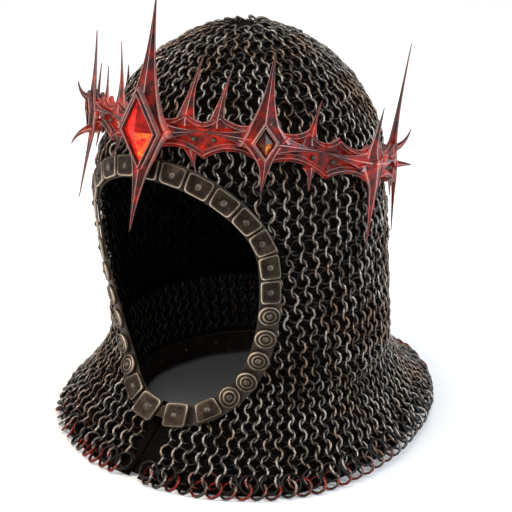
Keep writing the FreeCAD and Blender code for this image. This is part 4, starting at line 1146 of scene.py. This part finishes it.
for word, (center, up, down, width, depth, reach, thorns, claws, stone) in SEGMENTS.items():
    form = Collector()
    stand = OUTER_STAND + depth / 2
    # Each spike, rail, thorn and claw passes its share of the painted glow; along a spike it fades
    # towards the tip
    add_spike(form, center, (0, -2, stand), (0, up * SPIKE_BEND, stand), (0, up, stand + TIP_STAND),
              width, depth, 0.5)
    add_spike(form, center, (0, 2, stand), (0, -down * SPIKE_BEND, stand + reach / 2),
              (0, -down, stand + reach), width, depth, 0.6)
    for side in (1, -1):
        add_spike(form, center, (-side, 0, stand), (side * ARM_BEND, 0, stand),
                  (side * SEGMENT_HALF, ARM_END_RISE, RAIL_STAND), width * ARM_SHARE, depth, 0.9)
        degrees = center + side * np.linspace(0, 1, CURVE_STEPS) * SEGMENT_HALF
        for edge, half_width in RAILS:
            rise = edge(np.mod(degrees + 180, 360) - 180)
            rail = np.stack([degrees * DEG, rise, np.full(CURVE_STEPS, RAIL_STAND)], -1)
            add_blade(form, rail, half_width, RAIL_HEIGHT, 0.35, upright=True)
    for offset, rise, tip_offset, tip_rise, thick in thorns:
        bend = rise + (tip_rise - rise) * SPIKE_BEND
        add_spike(form, center, (offset, rise, RAIL_STAND), (offset, bend, RAIL_STAND),
                  (tip_offset, tip_rise, RAIL_STAND + 1), thick, THORN_DEPTH, 0.5)
    for rise, tip_rise, out, thick in claws:
        add_spike(form, center, (0, rise, RAIL_STAND), (0, rise, RAIL_STAND + out * CLAW_BEND),
                  (0, tip_rise, RAIL_STAND + out), thick, thick * CLAW_DEPTH_SHARE, 0.5)
    if stone:
        half_width, half_height, height, margin, facet_glow, finish = STONES[stone]
        seat = OUTER_STAND + depth
        node = "gem_" + word
        add_bezel(form, center, seat - BEZEL_SINK, half_width, half_height, margin, BEZEL_LIFT)
        add_gem(node + "_stone", center, seat - STONE_SINK, half_width, half_height, height,
                facet_glow, finish, "crown", node)
    piece = form.piece("crown_star_" + word, CROWN, "crown", sharp=28)
    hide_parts("crown_" + word)

# Plates and scales of the edging: domed, with a raised rim, over the CAD plates' own outlines
PLATE_LOOPS = [
    (1.0, 0.0, 0.0), (1.0, 0.55, 0.5), (0.975, 0.95, 1.0), (0.91, 1.08, 1.0), (0.86, 0.80, 0.1),
    (0.70, 0.86, 0.0), (0.45, 1.02, 0.0), (0.2, 1.10, 0.0), (0.02, 1.12, 0.0)]
SCALE_LOOPS = [
    (1.0, 0.0, 0.0), (1.0, 0.55, 0.5), (0.975, 0.95, 1.0), (0.90, 1.10, 1.0), (0.84, 0.78, 0.1),
    (0.66, 0.80, 0.0), (0.58, 1.12, 0.7), (0.50, 1.12, 0.5), (0.44, 0.85, 0.0), (0.02, 0.9, 0.0)]
OUTLINE_STEPS = 48
# Power of the outline: 1 is a round scale, and less is nearer to a square plate
ROUND_POWER = 1.0
SQUARE_POWER = 0.28


def plate_axes(points):
    """Middle of a plate with its directions along the edging, away from the opening and outward."""
    middle = (points.max(0) + points.min(0)) / 2
    normal = np.linalg.svd(points - points.mean(0), full_matrices=False)[2][2]
    spoke = middle - np.array([0, AXIS_Y, middle[2]])
    normal = normal * np.sign(normal.dot(spoke))
    turns = np.linspace(0, 2 * math.pi, 720, endpoint=False)
    edge = edge_point(turns, np.full(720, STRAP_WIDTH / 2), np.zeros(720))
    nearest = turns[np.linalg.norm(edge - middle, axis=1).argmin()]
    ahead, behind = edge_point(np.array([nearest + EDGE_STEP, nearest - EDGE_STEP]),
                               np.full(2, STRAP_WIDTH / 2), np.zeros(2))
    along = ahead - behind
    along = unit(along - normal * along.dot(normal))
    return middle, along, np.cross(along, normal), normal


def dressed_plate(name, node):
    """Rounded outline carried through loops of (share of the outline, height, rim value)."""
    points = np.array([node.matrix_world @ v.co for v in node.data.vertices]) / MM
    middle, along, away, normal = plate_axes(points)
    u, v, w = ((points - middle) @ axis for axis in (along, away, normal))
    middle = middle + along * (u.max() + u.min()) / 2 + away * (v.max() + v.min()) / 2
    v = v - (v.max() + v.min()) / 2
    half_height = (v.max() - v.min()) / 2
    low, thickness = w.min(), w.max() - w.min()
    near, far = (np.ptp(u[side]) / 2 for side in (v < 0, v > 0))
    scale = name.startswith("cheek_scale")
    turn = np.arange(OUTLINE_STEPS) * 2 * math.pi / OUTLINE_STEPS
    power = ROUND_POWER if scale else SQUARE_POWER
    x = np.copysign(np.abs(np.cos(turn)) ** power, np.cos(turn))
    y = np.copysign(np.abs(np.sin(turn)) ** power, np.sin(turn))
    x = x * (near + (far - near) * (y + 1) / 2)
    rings, rim = [], []
    for share, height, bright in SCALE_LOOPS if scale else PLATE_LOOPS:
        rings.append(middle + (share * x)[:, None] * along
                     + (share * y * half_height)[:, None] * away
                     + (low + thickness * height) * normal)
        # Rims are pale with wear, and a painted highlight makes them brightest on the edge towards
        # the opening
        rim.append(bright * (0.30 + 0.70 * np.clip(-y, 0, 1)))
    form = Collector()
    inward = np.cross(along, away).dot(normal) < 0
    form.add(np.concatenate(rings), closed_faces(len(rings), OUTLINE_STEPS, inward),
             rim=np.concatenate(rim))
    piece = form.piece(name + "_dressed", PLATE, "coif", sharp=50)
    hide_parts(name)


DRESSED = ("brow_plate", "cheek_scale", "chin_plate", "chin_end_plate")
for name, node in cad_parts.items():
    if name.startswith(DRESSED):
        dressed_plate(name, node)

# CAD nodes, each with its own procedural finish
for name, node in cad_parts.items():
    if name.startswith(DRESSED) or name == "chin_hook":
        finish = PLATE
    elif "rivet" in name or name == "chin_stud":
        finish = RIVET
    elif name == "crown_studs":
        finish = RIVET
    elif name.startswith(("hem_rings", "lapel_rings")):
        finish = HEM_STEEL
    else:
        finish = MAIL
    node.data.materials.clear()
    node.data.materials.append(finish)

# Floor, light and camera
floor_mesh = bpy.data.meshes.new("floor")
floor_mesh.from_pydata([(-9, -9, 0), (9, -9, 0), (9, 9, 0), (-9, 9, 0)], [], [(0, 1, 2, 3)])
floor = bpy.data.objects.new("floor", floor_mesh)
bpy.context.collection.objects.link(floor)
floor_material, nodes, links, shader = new_material("floor_paper")
shader.inputs["Base Color"].default_value = (0.86, 0.86, 0.86, 1)
shader.inputs["Roughness"].default_value = 0.9
shader.inputs["Emission Color"].default_value = (1, 1, 1, 1)
place = nodes.new("ShaderNodeTexCoord")
distance = nodes.new("ShaderNodeVectorMath")
distance.operation = "LENGTH"
links.new(place.outputs["Object"], distance.inputs[0])
# Painted shade: the floor glows only away from the coif, so it stays darker under and inside it
glow = ramp(nodes, links, distance.outputs["Value"], [(0.10, 0.0), (0.24, 0.42)])
links.new(glow, shader.inputs["Emission Strength"])
floor_mesh.materials.append(floor_material)

# The camera stands where the photo was taken from
AZIMUTH, ELEVATION, DISTANCE = 34.5 * DEG, 21.6 * DEG, 1.0
target = Vector((0.006, -0.009, 0.122))
back = Vector((math.sin(AZIMUTH) * math.cos(ELEVATION), -math.cos(AZIMUTH) * math.cos(ELEVATION),
               math.sin(ELEVATION)))
camera_data = bpy.data.cameras.new("camera")
camera_data.lens = 92.5
camera_data.sensor_width = 36
camera_data.shift_x = 0.0027
camera_data.shift_y = 0.0078
camera = bpy.data.objects.new("camera", camera_data)
camera.location = target + back * DISTANCE
camera.rotation_euler = back.to_track_quat("Z", "Y").to_euler()
bpy.context.collection.objects.link(camera)
bpy.context.scene.camera = camera


LIGHT_TARGET = Vector((0, -0.02, 0.15))


def area_light(name, place, size, power, color):
    data = bpy.data.lights.new(name, "AREA")
    data.size = size
    data.energy = power
    data.color = color
    light = bpy.data.objects.new(name, data)
    light.location = place
    light.rotation_euler = (Vector(place) - LIGHT_TARGET).to_track_quat("Z", "Y").to_euler()
    bpy.context.collection.objects.link(light)


area_light("warm_key", (-0.75, -1.05, 0.95), 0.4, 15, (1.0, 0.91, 0.80))
area_light("cool_side", (1.25, 0.15, 0.75), 0.5, 14, (0.76, 0.87, 1.0))
area_light("soft_top", (0.1, -0.3, 1.5), 0.8, 7, (1.0, 0.98, 0.95))

# White surroundings that light the part less than they show
WORLD_LIGHT = 0.5
WORLD_SEEN = 0.5
world = bpy.data.worlds.new("studio")
bpy.context.scene.world = world
world.use_nodes = True
world.node_tree.nodes["Background"].inputs["Color"].default_value = (1, 1, 1, 1)
nodes, links = world.node_tree.nodes, world.node_tree.links
ray = nodes.new("ShaderNodeLightPath")
seen = math_node(nodes, links, "MAXIMUM", ray.outputs["Is Camera Ray"],
                 ray.outputs["Is Glossy Ray"])
seen = math_node(nodes, links, "MAXIMUM", seen, ray.outputs["Is Transmission Ray"])
strength = math_node(nodes, links, "ADD",
                     math_node(nodes, links, "MULTIPLY", seen, WORLD_SEEN), WORLD_LIGHT)
links.new(strength, nodes["Background"].inputs["Strength"])
bpy.context.scene.view_settings.view_transform = "Standard"
